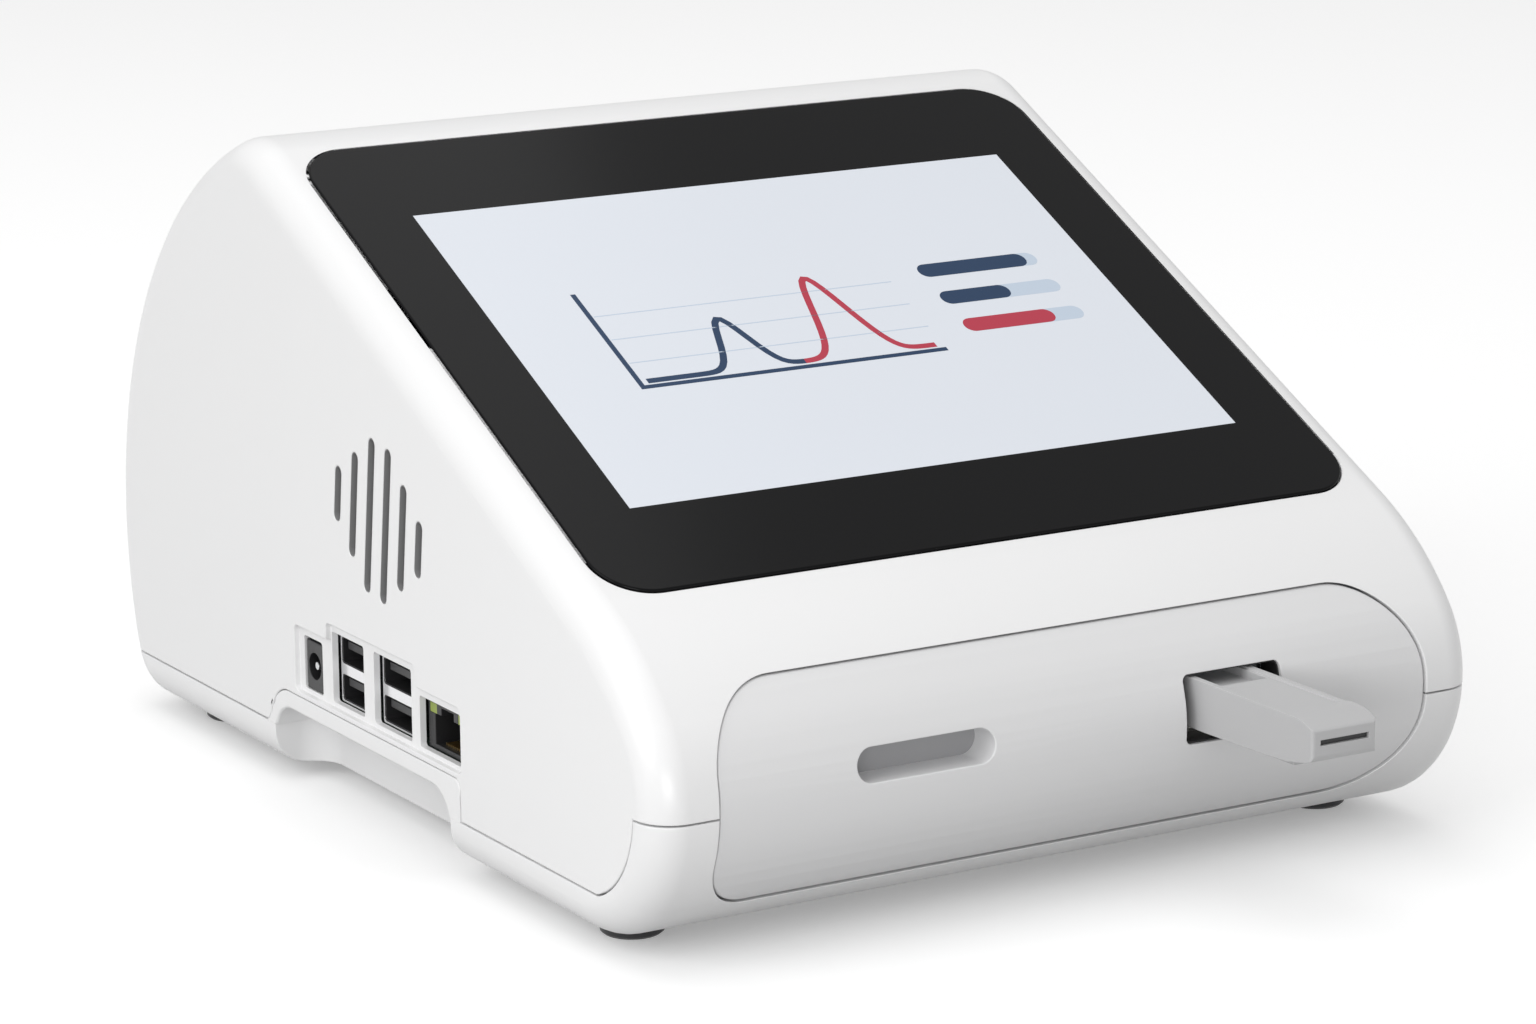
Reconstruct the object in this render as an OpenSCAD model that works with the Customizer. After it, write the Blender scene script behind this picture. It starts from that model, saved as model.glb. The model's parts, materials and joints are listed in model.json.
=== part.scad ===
// Fluorescence immunoassay analyzer: bench reader with a sloped touch screen and a motor driven card tray.
// The body is drawn with its nose at y = 0 and its back at +Y, X across and the floor at z = 0.

/* [Body] */
// Width of the body beside each edge of the cover glass
cheek_w = 9; // [7.5:0.1:12]
// Gap between the floor and the underside
foot_h = 3.6; // [3.2:0.1:4.1]
// Wall thickness of both housings
wall = 3; // [2.6:0.1:3.4]
// Radius of the chin, below the nose
chin_r = 32.8; // [32:0.1:34]
// Radius of the nose, above its foremost point
nose_r = 29.5; // [28.5:0.1:31]
// Turn of the nose between its foremost point and the brow in degrees
nose_rise = 38; // [35:0.5:41]
// Radius of the brow, between the nose and the screen face
brow_r = 71.8; // [66:0.2:78]
// Slope of the screen face in degrees
slope_a = 25.9; // [24.9:0.1:27]
// Reach of the back behind the middle of the ridge
back_reach = 79.6; // [74:0.2:86]
// Height of the rearmost point
back_z = 47.7; // [45:0.1:50]
// Radius along the top ridge
apex_r = 21.4; // [19:0.2:24]
// Radius along the lower rear edge
heel_r = 14.5; // [13:0.5:17]
// Radius of the edges round both side walls
edge_r = 8.4; // [8:0.1:10]

/* [Split line] */
// Height of the seam above the underside, along the sides and the back
split_up = 10.4; // [9.4:0.1:11]
// Drop of the front end of the seam below the foremost point
split_drop = 1.9; // [0.5:0.1:4]
// Width of the seam
seam = 0.4; // [0.2:0.1:0.6]
// Margin between the edge curve of the side wall and the seam
split_margin = 0.8; // [0.4:0.1:1.5]

/* [Screen] */
// Width of the lit area
lcd_w = 159.4; // [150:0.2:172]
// Length of the lit area up the slope
lcd_l = 111.7; // [104:0.1:124]
// Border on each side of the lit area
lcd_side_border = 17.8; // [15:0.1:22]
// Border below the lit area
lcd_low_border = 27.2; // [24:0.1:32]
// Border above the lit area
lcd_high_border = 28.8; // [24:0.1:34]
// Thickness of the cover glass
glass_t = 2; // [1.6:0.1:2.4]
// Corner radius of the cover glass
glass_corner = 12.3; // [8:0.1:16]
// Distance from the brow to the glass
glass_start = 1.4; // [1:0.1:4]
// Distance from the glass to the ridge
glass_ridge = 1.6; // [1:0.1:6]
// Height of the glass above the housing
glass_proud = 0.5; // [0.3:0.1:0.8]
// Gap round the glass
glass_gap = 0.3; // [0.2:0.05:0.5]
// Thickness of the printed border
print_t = 0.2; // [0.1:0.05:0.3]
// Thickness of the gasket under the glass
gasket_t = 0.3; // [0.2:0.05:0.5]
// Rim of the display module round its lit area
lcd_rim = 4.5; // [3:0.1:5.5]
// Thickness of the display module
lcd_t = 6; // [4:0.5:7]
// Gap between the display module and the housing
lcd_gap = 1.5; // [1:0.1:2]
// Sheet thickness of the display bracket
bracket_t = 1.5; // [1:0.1:2]

/* [Front panel] */
// Distance of the panel from the left side wall
panel_left = 16; // [14:0.1:18]
// Distance of the panel from the right side wall
panel_right = 15; // [13:0.1:18]
// Lower edge of the panel
panel_z0 = 12.9; // [12.4:0.1:14]
// Upper edge of the panel
panel_z1 = 60.2; // [59:0.1:61]
// Radius of the upper left corner
panel_r_tl = 18; // [10:0.1:20]
// Radius of the lower left corner
panel_r_bl = 11; // [6:0.1:15]
// Radius of both right corners
panel_r_right = 21; // [16:0.1:22]
// Gap round the panel
panel_gap = 0.5; // [0.3:0.05:0.7]
// Depth of the panel face below the housing
panel_sink = 0.5; // [0.2:0.1:0.8]
// Thickness of the panel
panel_t = 2.4; // [2:0.1:3]
// Reach of the flange behind the housing
flange_w = 2.2; // [1.5:0.1:2.3]
// Thickness of the flange
flange_t = 1.8; // [1.2:0.1:2]

/* [Chip slot] */
// Middle of the chip slot across the body
chip_x = -40; // [-50:0.2:-30]
// Middle height of the chip slot
chip_z = 40.4; // [38:0.2:43]
// Width of the chip slot
chip_w = 34.4; // [30:0.1:38]
// Height of the chip slot
chip_h = 7.6; // [7:0.1:9]
// Depth of the chip slot behind the nose
chip_depth = 9; // [8:0.5:12]
// Wall of the chip slot and of the tray window
sleeve_t = 1.6; // [1.2:0.1:2]

/* [Card tray] */
// Reach of the tray tip in front of the nose, tray out
tray_out = 41; // [40.6:0.2:45]
// Travel of the tray
tray_travel = 40; // [36:0.5:40.5]
// Middle of the tray beam across the body
tray_x = 38; // [36:0.2:39]
// Width of the tray beam
tray_w = 17.2; // [16.6:0.2:18]
// Height of the underside of the tray
tray_z = 35.6; // [35.4:0.1:36.6]
// Height of the tray beam
tray_h = 11.3; // [11:0.1:11.7]
// Length of the tray behind the nose, tray out
tray_in = 75; // [72:1:76]
// Width of the nest for the card
nest_w = 12.4; // [11:0.1:13]
// Depth of the nest
nest_d = 2.4; // [1.5:0.1:3]
// Distance of the nest in front of the nose
nest_front = 5; // [4:0.5:10]
// Depth of the apron in front of the nest
apron_d = 0.4; // [0.3:0.1:0.6]
// Width of the apron
apron_w = 13.8; // [13:0.1:14.4]
// Distance of the apron in front of the nose
apron_front = 30; // [26:0.5:32]
// Reach of the nest behind the nose
nest_back = 58; // [50:1:60]
// Width of the side rail
rail_w = 5.7; // [5:0.1:6]
// Height of the side rail
rail_h = 4.3; // [4:0.1:4.8]
// Height of the side rail above the tray underside
rail_up = 4.1; // [3.8:0.1:4.4]
// Sliding clearance of the tray
slide_gap = 0.3; // [0.2:0.05:0.4]
// Gap between the tray and the left edge of its window
window_left = 2.5; // [1.5:0.1:3]
// Gap over the tray in its window
window_top = 0.8; // [0.6:0.1:1.2]
// Gap under the tray in its window
window_low = 3.2; // [3:0.1:4]
// Gap between the rail and the right edge of the window
window_right = 0.6; // [0.5:0.1:1]
// Corner radius of the window
window_r = 1.6; // [1:0.1:2]
// Width of the slit in the tip
slit_w = 12.7; // [11:0.1:14]
// Height of the slit
slit_h = 1.2; // [1:0.1:1.5]

/* [Tray drive] */
// Tooth module of rack and pinion
tooth_m = 1; // [0.96:0.01:1.02]
// Teeth of the pinion
pinion_teeth = 18; // [18:1:19]
// Pressure angle of the teeth
pressure_a = 20; // [19:0.5:22]
// Play between rack and pinion
backlash = 0.12; // [0.1:0.01:0.2]
// Width of the pinion
pinion_w = 7; // [5:0.5:8]
// Width of the rack
rack_w = 8; // [6:0.5:9]
// Thickness of the rack above its teeth
rack_base = 2.5; // [2:0.1:3]
// Place of the pinion behind the nose
pinion_y = 62; // [60:0.5:64]
// Shaft radius
shaft_r = 2.5; // [2:0.1:2.6]
// Running clearance of the shaft
shaft_gap = 0.05; // [0.02:0.01:0.08]
// Radius of the motor
motor_r = 11; // [10:0.1:11.3]
// Length of the motor
motor_l = 16; // [15:0.5:22]

/* [Reader] */
// Gap between the floor and the chassis plate
chassis_up = 2; // [1.6:0.1:2.3]
// Thickness of the chassis plate
chassis_t = 2.5; // [2:0.1:2.6]
// Thickness of the chassis side walls
chassis_wall = 3; // [2.5:0.1:3.5]
// Front end of the chassis
chassis_y0 = 24; // [23:0.5:26]
// Rear end of the chassis
chassis_y1 = 129; // [128:0.5:132]
// Height of the chassis side walls
chassis_top = 54; // [52:0.5:56]
// Middle of the optics behind the nose
optics_y = 84; // [80:0.5:88]
// Height of the optics block
optics_h = 20; // [18:0.5:21]
// Radius of the light paths
light_r = 4; // [3:0.1:4.5]

/* [Ports] */
// Depth of the stepped pocket
pocket_d = 1.4; // [1:0.1:1.6]
// Lower edge of the pocket
pocket_z = 25.2; // [24.6:0.1:25.4]
// Clearance between each jack and its opening
port_gap = 0.7; // [0.5:0.05:0.9]
// Clearance between the jacks and the inside of the wall
port_back = 0.3; // [0.2:0.05:0.5]
// Top of the main board
board_top = 26.3; // [26.2:0.1:27]
// Thickness of the main board
board_t = 1.6; // [1.2:0.1:1.8]
// Place of the power jack behind the nose
dc_y = 163.7; // [162:0.1:165]
// Width of the power jack
dc_w = 8.2; // [8:0.1:9]
// Height of the power jack
dc_h = 11.8; // [11:0.1:12.5]
// Place of the rear USB stack
usb_rear_y = 145.4; // [144:0.1:147]
// Place of the front USB stack
usb_front_y = 122.6; // [121:0.1:124]
// Width of the rear USB stack
usb_rear_w = 15; // [14:0.1:15.4]
// Width of the front USB stack
usb_front_w = 17.4; // [15:0.1:17.6]
// Height of a USB stack
usb_h = 15.9; // [15:0.1:16.2]
// Place of the network jack
net_y = 99.3; // [98.4:0.1:100]
// Width of the network jack
net_w = 18.4; // [17.4:0.1:18.6]
// Height of the network jack
net_h = 11; // [10.8:0.1:12]

/* [Sound slots] */
// Number of slots
vent_n = 6; // [4:1:6]
// Distance between slots
vent_pitch = 8.1; // [7:0.1:8.4]
// Width of a slot
vent_w = 3; // [2.4:0.1:3.4]
// Length of the longest slots
vent_l = 36.2; // [30:0.1:38]
// Shortening from one slot to the next
vent_step = 11.7; // [8:0.1:13]
// Lean of the slots in degrees
vent_lean = 7; // [0:0.5:10]
// Middle of the slots behind the nose
vent_y = 125.4; // [122:0.2:130]
// Middle height of the slots
vent_z = 74.7; // [72:0.1:78]

/* [Cable recess] */
// Front end of the cable recess
recess_y0 = 92.6; // [91:0.2:95]
// Rear end of the cable recess
recess_y1 = 183; // [178:0.2:184]
// Top of the cable recess
recess_top = 19.7; // [19:0.1:20]
// Depth of the cable recess
recess_d = 13.5; // [11:0.1:15]
// Radius of its upper corners
recess_r = 9; // [6:0.1:9.5]
// Wall behind the recess
recess_wall = 2.5; // [2:0.1:3]
// Width of the arch moulding in front of the recess
arch_front = 5; // [4:0.1:6]
// Thickness of the arch moulding over the recess
arch_top = 4; // [3:0.1:4.2]
// Width of the arch moulding behind the recess
arch_rear = 1.6; // [1.4:0.1:3]

/* [Feet and screws] */
// Radius of a foot
foot_r = 7.5; // [6.5:0.1:8]
// Distance of the feet from the side walls
foot_side = 16; // [15.9:0.1:18]
// Distance of the front feet from the nose
foot_front_y = 39; // [38.5:0.5:42]
// Distance of the rear feet from the back
foot_back = 33; // [30:0.5:38]
// Distance of the housing screws from the side walls
boss_side = 14.5; // [14:0.1:16]
// Place of the front housing screws
boss_front_y = 62; // [60:0.5:66]
// Distance of the rear housing screws from the back
boss_back = 62; // [54:0.5:64]
// Shank radius of the larger screws
screw_r = 1.5; // [1.3:0.05:1.6]
// Shank radius of the smaller screws
small_screw_r = 1.1; // [1:0.05:1.2]

/* [Power switch] */
// Place of the switch across the back
switch_x = -62; // [-80:1:80]
// Middle height of the switch
switch_z = 50; // [48:0.5:52]
// Width of the switch body
switch_w = 12.6; // [12:0.1:14]
// Height of the switch body
switch_h = 18.6; // [18:0.1:20]
// Depth of the bezel face below the back
switch_sink = 1.3; // [1.2:0.1:1.6]
// Tilt of the rocker each way in degrees
rocker_tilt = 8; // [6:0.5:9]

/* [Hidden] */
$fn = 48;

white = [0.93, 0.93, 0.93];
light_grey = [0.80, 0.80, 0.81];
mid_grey = [0.68, 0.68, 0.69];
black = [0.08, 0.08, 0.09];
steel = [0.75, 0.76, 0.78];
board_green = [0.10, 0.35, 0.22];

// Head height of the smaller screws
small_head_h = 1.6;
// Overlap that keeps joined shapes in one solid
bite = 0.2;
// Length that carries a cut past the body
past = 12;

glass_w = lcd_w + 2 * lcd_side_border;
glass_l = lcd_low_border + lcd_l + lcd_high_border;
body_w = glass_w + 2 * cheek_w;
half_w = body_w / 2;
bottom_z = foot_h;
floor_z = bottom_z + wall;
nose_z = bottom_z + chin_r;
split_z = bottom_z + split_up;
split_front_z = nose_z - split_drop;
slope_dir = [cos(slope_a), sin(slope_a)];
slope_out = [-sin(slope_a), cos(slope_a)];
nose_c = [nose_r, nose_z];
chin_c = [chin_r, nose_z];
nose_end_a = 180 - nose_rise;
brow_c = nose_c + (nose_r - brow_r) * [cos(nose_end_a), sin(nose_end_a)];
slope_p = brow_c + brow_r * slope_out;
slope_l = glass_start + glass_l + glass_ridge;
apex_c = slope_p + slope_l * slope_dir - apex_r * slope_out;
back_drop = apex_c[1] - back_z;
back_r = (pow(back_reach, 2) + pow(back_drop, 2) - pow(apex_r, 2)) / (2 * (back_reach - apex_r));
body_d = apex_c[0] + back_reach;
back_c = [body_d - back_r, back_z];
heel_c = [back_c[0] + sqrt(pow(back_r - heel_r, 2) - pow(bottom_z + heel_r - back_z, 2)), bottom_z + heel_r];
slope_end_a = 90 + slope_a;
apex_a = atan2(apex_c[1] - back_c[1], apex_c[0] - back_c[0]);
heel_a = atan2(heel_c[1] - back_c[1], heel_c[0] - back_c[0]);

// Points of one round stretch, from angle a to angle b
function arc(c, r, a, b, steps, first = 0) =
    [for (i = [first:steps]) c + r * [cos(a + (b - a) * i / steps), sin(a + (b - a) * i / steps)]];

// Side outline of the body, moved in by d all round
function side_outline(d) = concat(
    arc(chin_c, chin_r - d, 270, 180, 9),
    arc(nose_c, nose_r - d, 180, nose_end_a, 5, 1),
    arc(brow_c, brow_r - d, nose_end_a, slope_end_a, 4, 1),
    arc(apex_c, apex_r - d, slope_end_a, apex_a, 5),
    arc(back_c, back_r - d, apex_a, heel_a, 22, 1),
    arc(heel_c, heel_r - d, heel_a, -90, 6, 1));

function ring(x, d) = [for (p = side_outline(d)) [x, p[0], p[1]]];

// Solid through a row of rings that all have the same number of points
module loft(rings) {
    n = len(rings[0]);
    last = (len(rings) - 1) * n;
    polyhedron(
        [for (r = rings) each r],
        concat(
            [[for (i = [n - 1:-1:0]) i], [for (i = [0:n - 1]) last + i]],
            [for (j = [0:len(rings) - 2], i = [0:n - 1])
                [j * n + i, j * n + (i + 1) % n, (j + 1) * n + (i + 1) % n, (j + 1) * n + i]]));
}

// Body with rounded edges, moved in by d
module body_form(d, r, steps) {
    turns = [for (i = [0:steps]) 90 - 90 * i / steps];
    left = [for (a = turns) ring(-half_w + d + r * (1 - sin(a)), d + r * (1 - cos(a)))];
    right = [for (a = turns) ring(half_w - d - r * (1 - sin(a)), d + r * (1 - cos(a)))];
    loft(concat(left, [for (i = [steps:-1:0]) right[i]]));
}

module place() translate([0, (tray_out - body_d) / 2, 0]) children();
module on_slope() translate([0, slope_p[0], slope_p[1]]) rotate([slope_a, 0, 0]) children();
module along_x(x0, x1) translate([x0, 0, 0]) rotate([90, 0, 90]) linear_extrude(x1 - x0) children();
module along_y(y0, y1) translate([0, y1, 0]) rotate([90, 0, 0]) linear_extrude(y1 - y0) children();
module along_z(z0, z1) translate([0, 0, z0]) linear_extrude(z1 - z0) children();
module box(lo, hi) translate(lo) cube(hi - lo);
module rod_x(r, x0, x1) translate([x0, 0, 0]) rotate([0, 90, 0]) cylinder(r = r, h = x1 - x0);
module mirrored() { children(); mirror([1, 0, 0]) children(); }

// Corner of a sheet to cut away, with its tip at p and its inside towards q
module corner(p, q, r) {
    translate(p) scale_sign(q) difference() {
        translate([-1, -1]) square(r + 1);
        translate([r, r]) circle(r);
    }
}
module scale_sign(q) mirror([q[0] < 0 ? 1 : 0, 0]) mirror([0, q[1] < 0 ? 1 : 0]) children();

// Rectangle with four corner radii: low left, low right, high right, high left
module sheet(x0, x1, y0, y1, r) {
    difference() {
        translate([x0, y0]) square([x1 - x0, y1 - y0]);
        if (r[0] > 0) corner([x0, y0], [1, 1], r[0]);
        if (r[1] > 0) corner([x1, y0], [-1, 1], r[1]);
        if (r[2] > 0) corner([x1, y1], [-1, -1], r[2]);
        if (r[3] > 0) corner([x0, y1], [1, -1], r[3]);
    }
}
module even_sheet(x0, x1, y0, y1, r) sheet(x0, x1, y0, y1, [r, r, r, r]);

// Screw with its head above z = 0 and its shank below
module screw(r, l, head_h) {
    difference() {
        union() {
            translate([0, 0, -l]) cylinder(r = r, h = l + bite);
            cylinder(r = 2 * r, h = head_h);
        }
        translate([0, 0, head_h / 2]) cylinder(r = r, h = head_h, $fn = 6);
    }
}

// Half space above the seam, raised by g
module above_split(g) along_x(-half_w - past, half_w + past) polygon(concat(
    [[-past - tray_out, split_front_z + g]],
    arc(chin_c, chin_r - edge_r - split_margin - g,
        180 + asin((nose_z - split_front_z - g) / (chin_r - edge_r - split_margin - g)),
        180 + asin((nose_z - split_z - g) / (chin_r - edge_r - split_margin - g)), 8),
    [[body_d + past, split_z + g], [body_d + past, body_d], [-past - tray_out, body_d]]));

// Screen stack

seat_d = glass_t - glass_proud + print_t + gasket_t;
glass_end = glass_start + glass_l;
lcd_v0 = glass_start + lcd_low_border;
lcd_v1 = lcd_v0 + lcd_l;
lcd_top_w = -(glass_t - glass_proud) - print_t;
bracket_top_w = lcd_top_w - lcd_t;
view_x = lcd_w / 2 + lcd_rim + lcd_gap;
view_v0 = lcd_v0 - lcd_rim - lcd_gap;
view_v1 = lcd_v1 + lcd_rim + lcd_gap;
bracket_band = 10;
display_post_r = 3;
display_post_x = view_x + display_post_r + 1;
display_post_v = [view_v0 + 8, view_v1 - 8];

module glass_outline(g) even_sheet(-glass_w / 2 - g, glass_w / 2 + g, glass_start - g, glass_end + g,
    glass_corner + g);
module lcd_window(g) translate([-lcd_w / 2 - g, lcd_v0 - g]) square([lcd_w + 2 * g, lcd_l + 2 * g]);

module cover_glass() color([0.10, 0.10, 0.11, 0.5]) place() on_slope()
    translate([0, 0, glass_proud - glass_t]) linear_extrude(glass_t) glass_outline(0);

module border_print() color(black) place() on_slope()
    translate([0, 0, lcd_top_w]) linear_extrude(print_t) difference() {
        glass_outline(0);
        lcd_window(0);
    }

module glass_gasket() color([0.2, 0.2, 0.2]) place() on_slope()
    translate([0, 0, -seat_d]) linear_extrude(gasket_t) difference() {
        glass_outline(0);
        translate([-view_x, view_v0]) square([2 * view_x, view_v1 - view_v0]);
    }

module display_module() color([0.85, 0.88, 0.92]) place() on_slope() {
    translate([0, 0, bracket_top_w]) linear_extrude(lcd_t) lcd_window(lcd_rim);
}

module display_posts(r) for (x = [-display_post_x, display_post_x], v = display_post_v)
    translate([x, v, bracket_top_w]) cylinder(r = r, h = -bracket_top_w - seat_d + bite);

module display_bracket() color(steel) place() on_slope() difference() {
    translate([0, 0, bracket_top_w - bracket_t]) linear_extrude(bracket_t) union() {
        difference() {
            lcd_window(lcd_rim);
            even_sheet(-lcd_w / 2 + bracket_band, lcd_w / 2 - bracket_band, lcd_v0 + bracket_band,
                lcd_v1 - bracket_band, 6);
        }
        for (x = [-1, 1], v = display_post_v)
            translate([x * (display_post_x + lcd_w / 2) / 2, v])
                square([display_post_x - lcd_w / 2 + 2 * display_post_r, 2 * display_post_r], center = true);
    }
    for (x = [-display_post_x, display_post_x], v = display_post_v)
        translate([x, v, bracket_top_w - bracket_t - 1]) cylinder(r = small_screw_r + bite, h = bracket_t + 2);
}

module display_screws() color(steel) place() on_slope()
    for (x = [-display_post_x, display_post_x], v = display_post_v)
        translate([x, v, bracket_top_w - bracket_t]) rotate([180, 0, 0])
            screw(small_screw_r, bracket_t + 3, small_head_h);

// Front panel

panel_x0 = -half_w + panel_left;
panel_x1 = half_w - panel_right;
panel_reach = 22;
disc_reach = panel_reach + 2;
disc_join = 0.001;

// Front of the body as a filled outline, moved in by d
module nose_disc(d) {
    brow_z = nose_z + (nose_r - d) * sin(nose_rise);
    intersection() {
        translate(brow_c) circle(brow_r - d);
        translate([-1, brow_z - disc_join]) square([disc_reach, brow_r]);
    }
    intersection() {
        translate(nose_c) circle(nose_r - d);
        translate([-1, nose_z]) square([disc_reach, brow_z - nose_z]);
    }
    intersection() {
        translate(chin_c) circle(chin_r - d);
        translate([-1, bottom_z]) square([disc_reach, chin_r + disc_join]);
    }
}
module front_band(d0, d1) along_x(panel_x0 - past, panel_x1 + past) difference() {
    nose_disc(d0);
    nose_disc(d1);
}
module panel_outline(g) sheet(panel_x0 - g, panel_x1 + g, panel_z0 - g, panel_z1 + g,
    [panel_r_bl + g, panel_r_right + g, panel_r_right + g, panel_r_tl + g]);
flange_gap = 0.25;
flange_sink = wall + flange_gap;

tray_x0 = tray_x - tray_w / 2;
tray_x1 = tray_x + tray_w / 2;
rail_x1 = tray_x1 + rail_w;
tray_top = tray_z + tray_h;
rail_z0 = tray_z + rail_up;
rail_z1 = rail_z0 + rail_h;

module window_outline(g) even_sheet(tray_x0 - window_left - g, rail_x1 + window_right + g,
    tray_z - window_low - g, tray_top + window_top + g, window_r + g);
module chip_outline(g) even_sheet(chip_x - chip_w / 2 - g, chip_x + chip_w / 2 + g,
    chip_z - chip_h / 2 - g, chip_z + chip_h / 2 + g, chip_h / 2 + g - 0.01);

module front_panel() color(light_grey) place() difference() {
    union() {
        intersection() {
            along_y(-1, panel_reach) panel_outline(0);
            front_band(panel_sink, flange_sink + flange_t);
        }
        intersection() {
            along_y(-1, panel_reach) panel_outline(flange_w);
            front_band(flange_sink, flange_sink + flange_t);
        }
        intersection() {
            along_y(panel_sink + 1, chip_depth) {
                chip_outline(sleeve_t);
                window_outline(sleeve_t);
            }
            along_x(panel_x0, panel_x1) nose_disc(panel_sink + bite);
        }
    }
    difference() {
        intersection() {
            along_y(0, panel_reach) panel_outline(-3);
            front_band(panel_sink + panel_t, chin_r / 2);
        }
        along_y(0, panel_reach) chip_outline(sleeve_t);
        along_y(0, panel_reach) window_outline(sleeve_t);
    }
    along_y(-1, panel_reach) chip_outline(0);
    along_y(-1, panel_reach) window_outline(0);
}

module chip_reader() color([0.35, 0.35, 0.36]) place() along_y(chip_depth, chip_depth + 6)
    even_sheet(chip_x - chip_w / 2 - sleeve_t, chip_x + chip_w / 2 + sleeve_t,
        chip_z - chip_h / 2 - sleeve_t, chip_z + chip_h / 2 + sleeve_t, sleeve_t);
chip_board_h = 26;
module chip_board() color(board_green) place() difference() {
    along_y(chip_depth + 6, chip_depth + 7.6) even_sheet(chip_x - chip_w / 2 - 4, chip_x + chip_w / 2 + 4,
        chip_z - chip_board_h / 2, chip_z + chip_board_h / 2, 2);
    for (x = [-1, 1], z = [-1, 1])
        translate([chip_x + x * (chip_w / 2 + 1), chip_depth + 5, chip_z + z * (chip_board_h / 2 - 3)])
            rotate([-90, 0, 0]) cylinder(r = small_screw_r, h = 4);
}

// Cable recess and its arch

recess_x = -half_w + recess_d;
module recess_cut(z1) {
    intersection() {
        along_x(-half_w - past, recess_x) sheet(recess_y0, recess_y1, -past, recess_top,
            [0, 0, recess_r, recess_r]);
        along_z(-past, z1) sheet(-half_w - 2 * past, recess_x, recess_y0, recess_y1,
            [0, recess_r - 1, recess_r - 1, 0]);
    }
}
arch_y0 = recess_y0 - arch_front;
arch_y1 = recess_y1 + arch_rear;
arch_z1 = recess_top + arch_top;
arch_corner = 2.5;
arch_foot = 4;
module arch_outline(g) {
    sheet(arch_y0 - g, arch_y1 + g, split_z - 1, arch_z1 + g, [0, 0, recess_r + g, arch_corner + g]);
    difference() {
        translate([arch_y1 + g - bite, split_z - 1]) square([arch_foot + bite, arch_foot + 1]);
        translate([arch_y1 + g + arch_foot, split_z + arch_foot]) circle(arch_foot);
    }
}
module recess_arch() color(white) place() difference() {
    intersection() {
        along_x(-half_w, recess_x + recess_wall) arch_outline(0);
        box([-half_w - 1, arch_y0 - past, split_z], [half_w, arch_y1 + past, arch_z1 + past]);
    }
    recess_cut(recess_top + 1);
    box([-half_w + wall, arch_y1 + 0.2, split_z - 1], [half_w, arch_y1 + past, arch_z1]);
}

// Ports

port_x = -half_w + wall + port_back;
dc_top = board_top + dc_h + port_gap;
usb_top = board_top + usb_h + port_gap;
net_top = board_top + net_h + port_gap;
pocket_rim = 2.2;
pocket_end = 2.5;
step_front = 4.6;
step_rear = 0.4;
pocket_y0 = net_y - net_w / 2 - port_gap - pocket_end;
pocket_y1 = dc_y + dc_w / 2 + port_gap + pocket_end;
step_front_y = usb_front_y - usb_front_w / 2 - port_gap - step_front;
step_rear_y = usb_rear_y + usb_rear_w / 2 + port_gap + step_rear;

pocket_r = 1.5;
module port_opening(y, w, h) sheet(y - w / 2 - port_gap, y + w / 2 + port_gap, board_top - port_gap,
    board_top + h + port_gap, [0.8, 0.8, 0.8, 0.8]);
module pocket_outline() {
    sheet(pocket_y0, step_front_y + bite, pocket_z, net_top + pocket_rim, [pocket_r, 0, 0, pocket_r]);
    sheet(step_rear_y - bite, pocket_y1, pocket_z, dc_top + pocket_rim, [0, pocket_r, pocket_r, 0]);
    sheet(step_front_y, step_rear_y, pocket_z, usb_top + pocket_rim, [0, 0, pocket_r, pocket_r]);
}
module port_openings() {
    port_opening(dc_y, dc_w, dc_h);
    port_opening(usb_rear_y, usb_rear_w, usb_h);
    port_opening(usb_front_y, usb_front_w, usb_h);
    port_opening(net_y, net_w, net_h);
}

module dc_jack() color(black) place() difference() {
    box([port_x, dc_y - dc_w / 2, board_top], [port_x + 13, dc_y + dc_w / 2, board_top + dc_h]);
    translate([0, dc_y, board_top + dc_h / 2]) rod_x(3.15, port_x - 1, port_x + 9.5);
}
module dc_pin() color(steel) place() translate([0, dc_y, board_top + dc_h / 2])
    rod_x(1, port_x + 0.8, port_x + 9.5);

usb_depth = 17;
usb_skin = 0.5;
usb_bar = 2.6;
usb_mouth = (usb_h - 2 * usb_skin - usb_bar) / 2;
usb_mouth_d = 10;
module usb_shell(y, w) difference() {
    along_x(port_x, port_x + usb_depth) sheet(y - w / 2, y + w / 2, board_top, board_top + usb_h,
        [0.8, 0.8, 0.8, 0.8]);
    for (z = [board_top + usb_skin, board_top + usb_h - usb_skin - usb_mouth])
        along_x(port_x - 1, port_x + usb_mouth_d) sheet(y - w / 2 + usb_skin, y + w / 2 - usb_skin,
            z, z + usb_mouth, [1, 1, 1, 1]);
}
tongue_t = 1.9;
tongue_side = 1.9;
tongue_drop = 0.9;
module usb_insert(y, w) for (z = [board_top + usb_skin, board_top + usb_h - usb_skin - usb_mouth])
    box([port_x + 1, y - w / 2 + tongue_side, z + usb_mouth - tongue_drop - tongue_t],
        [port_x + usb_mouth_d, y + w / 2 - tongue_side, z + usb_mouth - tongue_drop]);
module usb_shell_rear() color(steel) place() usb_shell(usb_rear_y, usb_rear_w);
module usb_shell_front() color(steel) place() usb_shell(usb_front_y, usb_front_w);
module usb_insert_rear() color(black) place() usb_insert(usb_rear_y, usb_rear_w);
module usb_insert_front() color(black) place() usb_insert(usb_front_y, usb_front_w);

net_mouth_w = 12;
net_mouth_h = 7;
net_mouth_z = board_top + 1.2;
net_mouth_d = 13;
light_w = 3.2;
light_h = 2.2;
light_l = 2;
light_edge = 0.8;
light_top = 0.6;
contact_n = 8;
contact_pitch = 1.02;
contact_t = 0.4;
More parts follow.
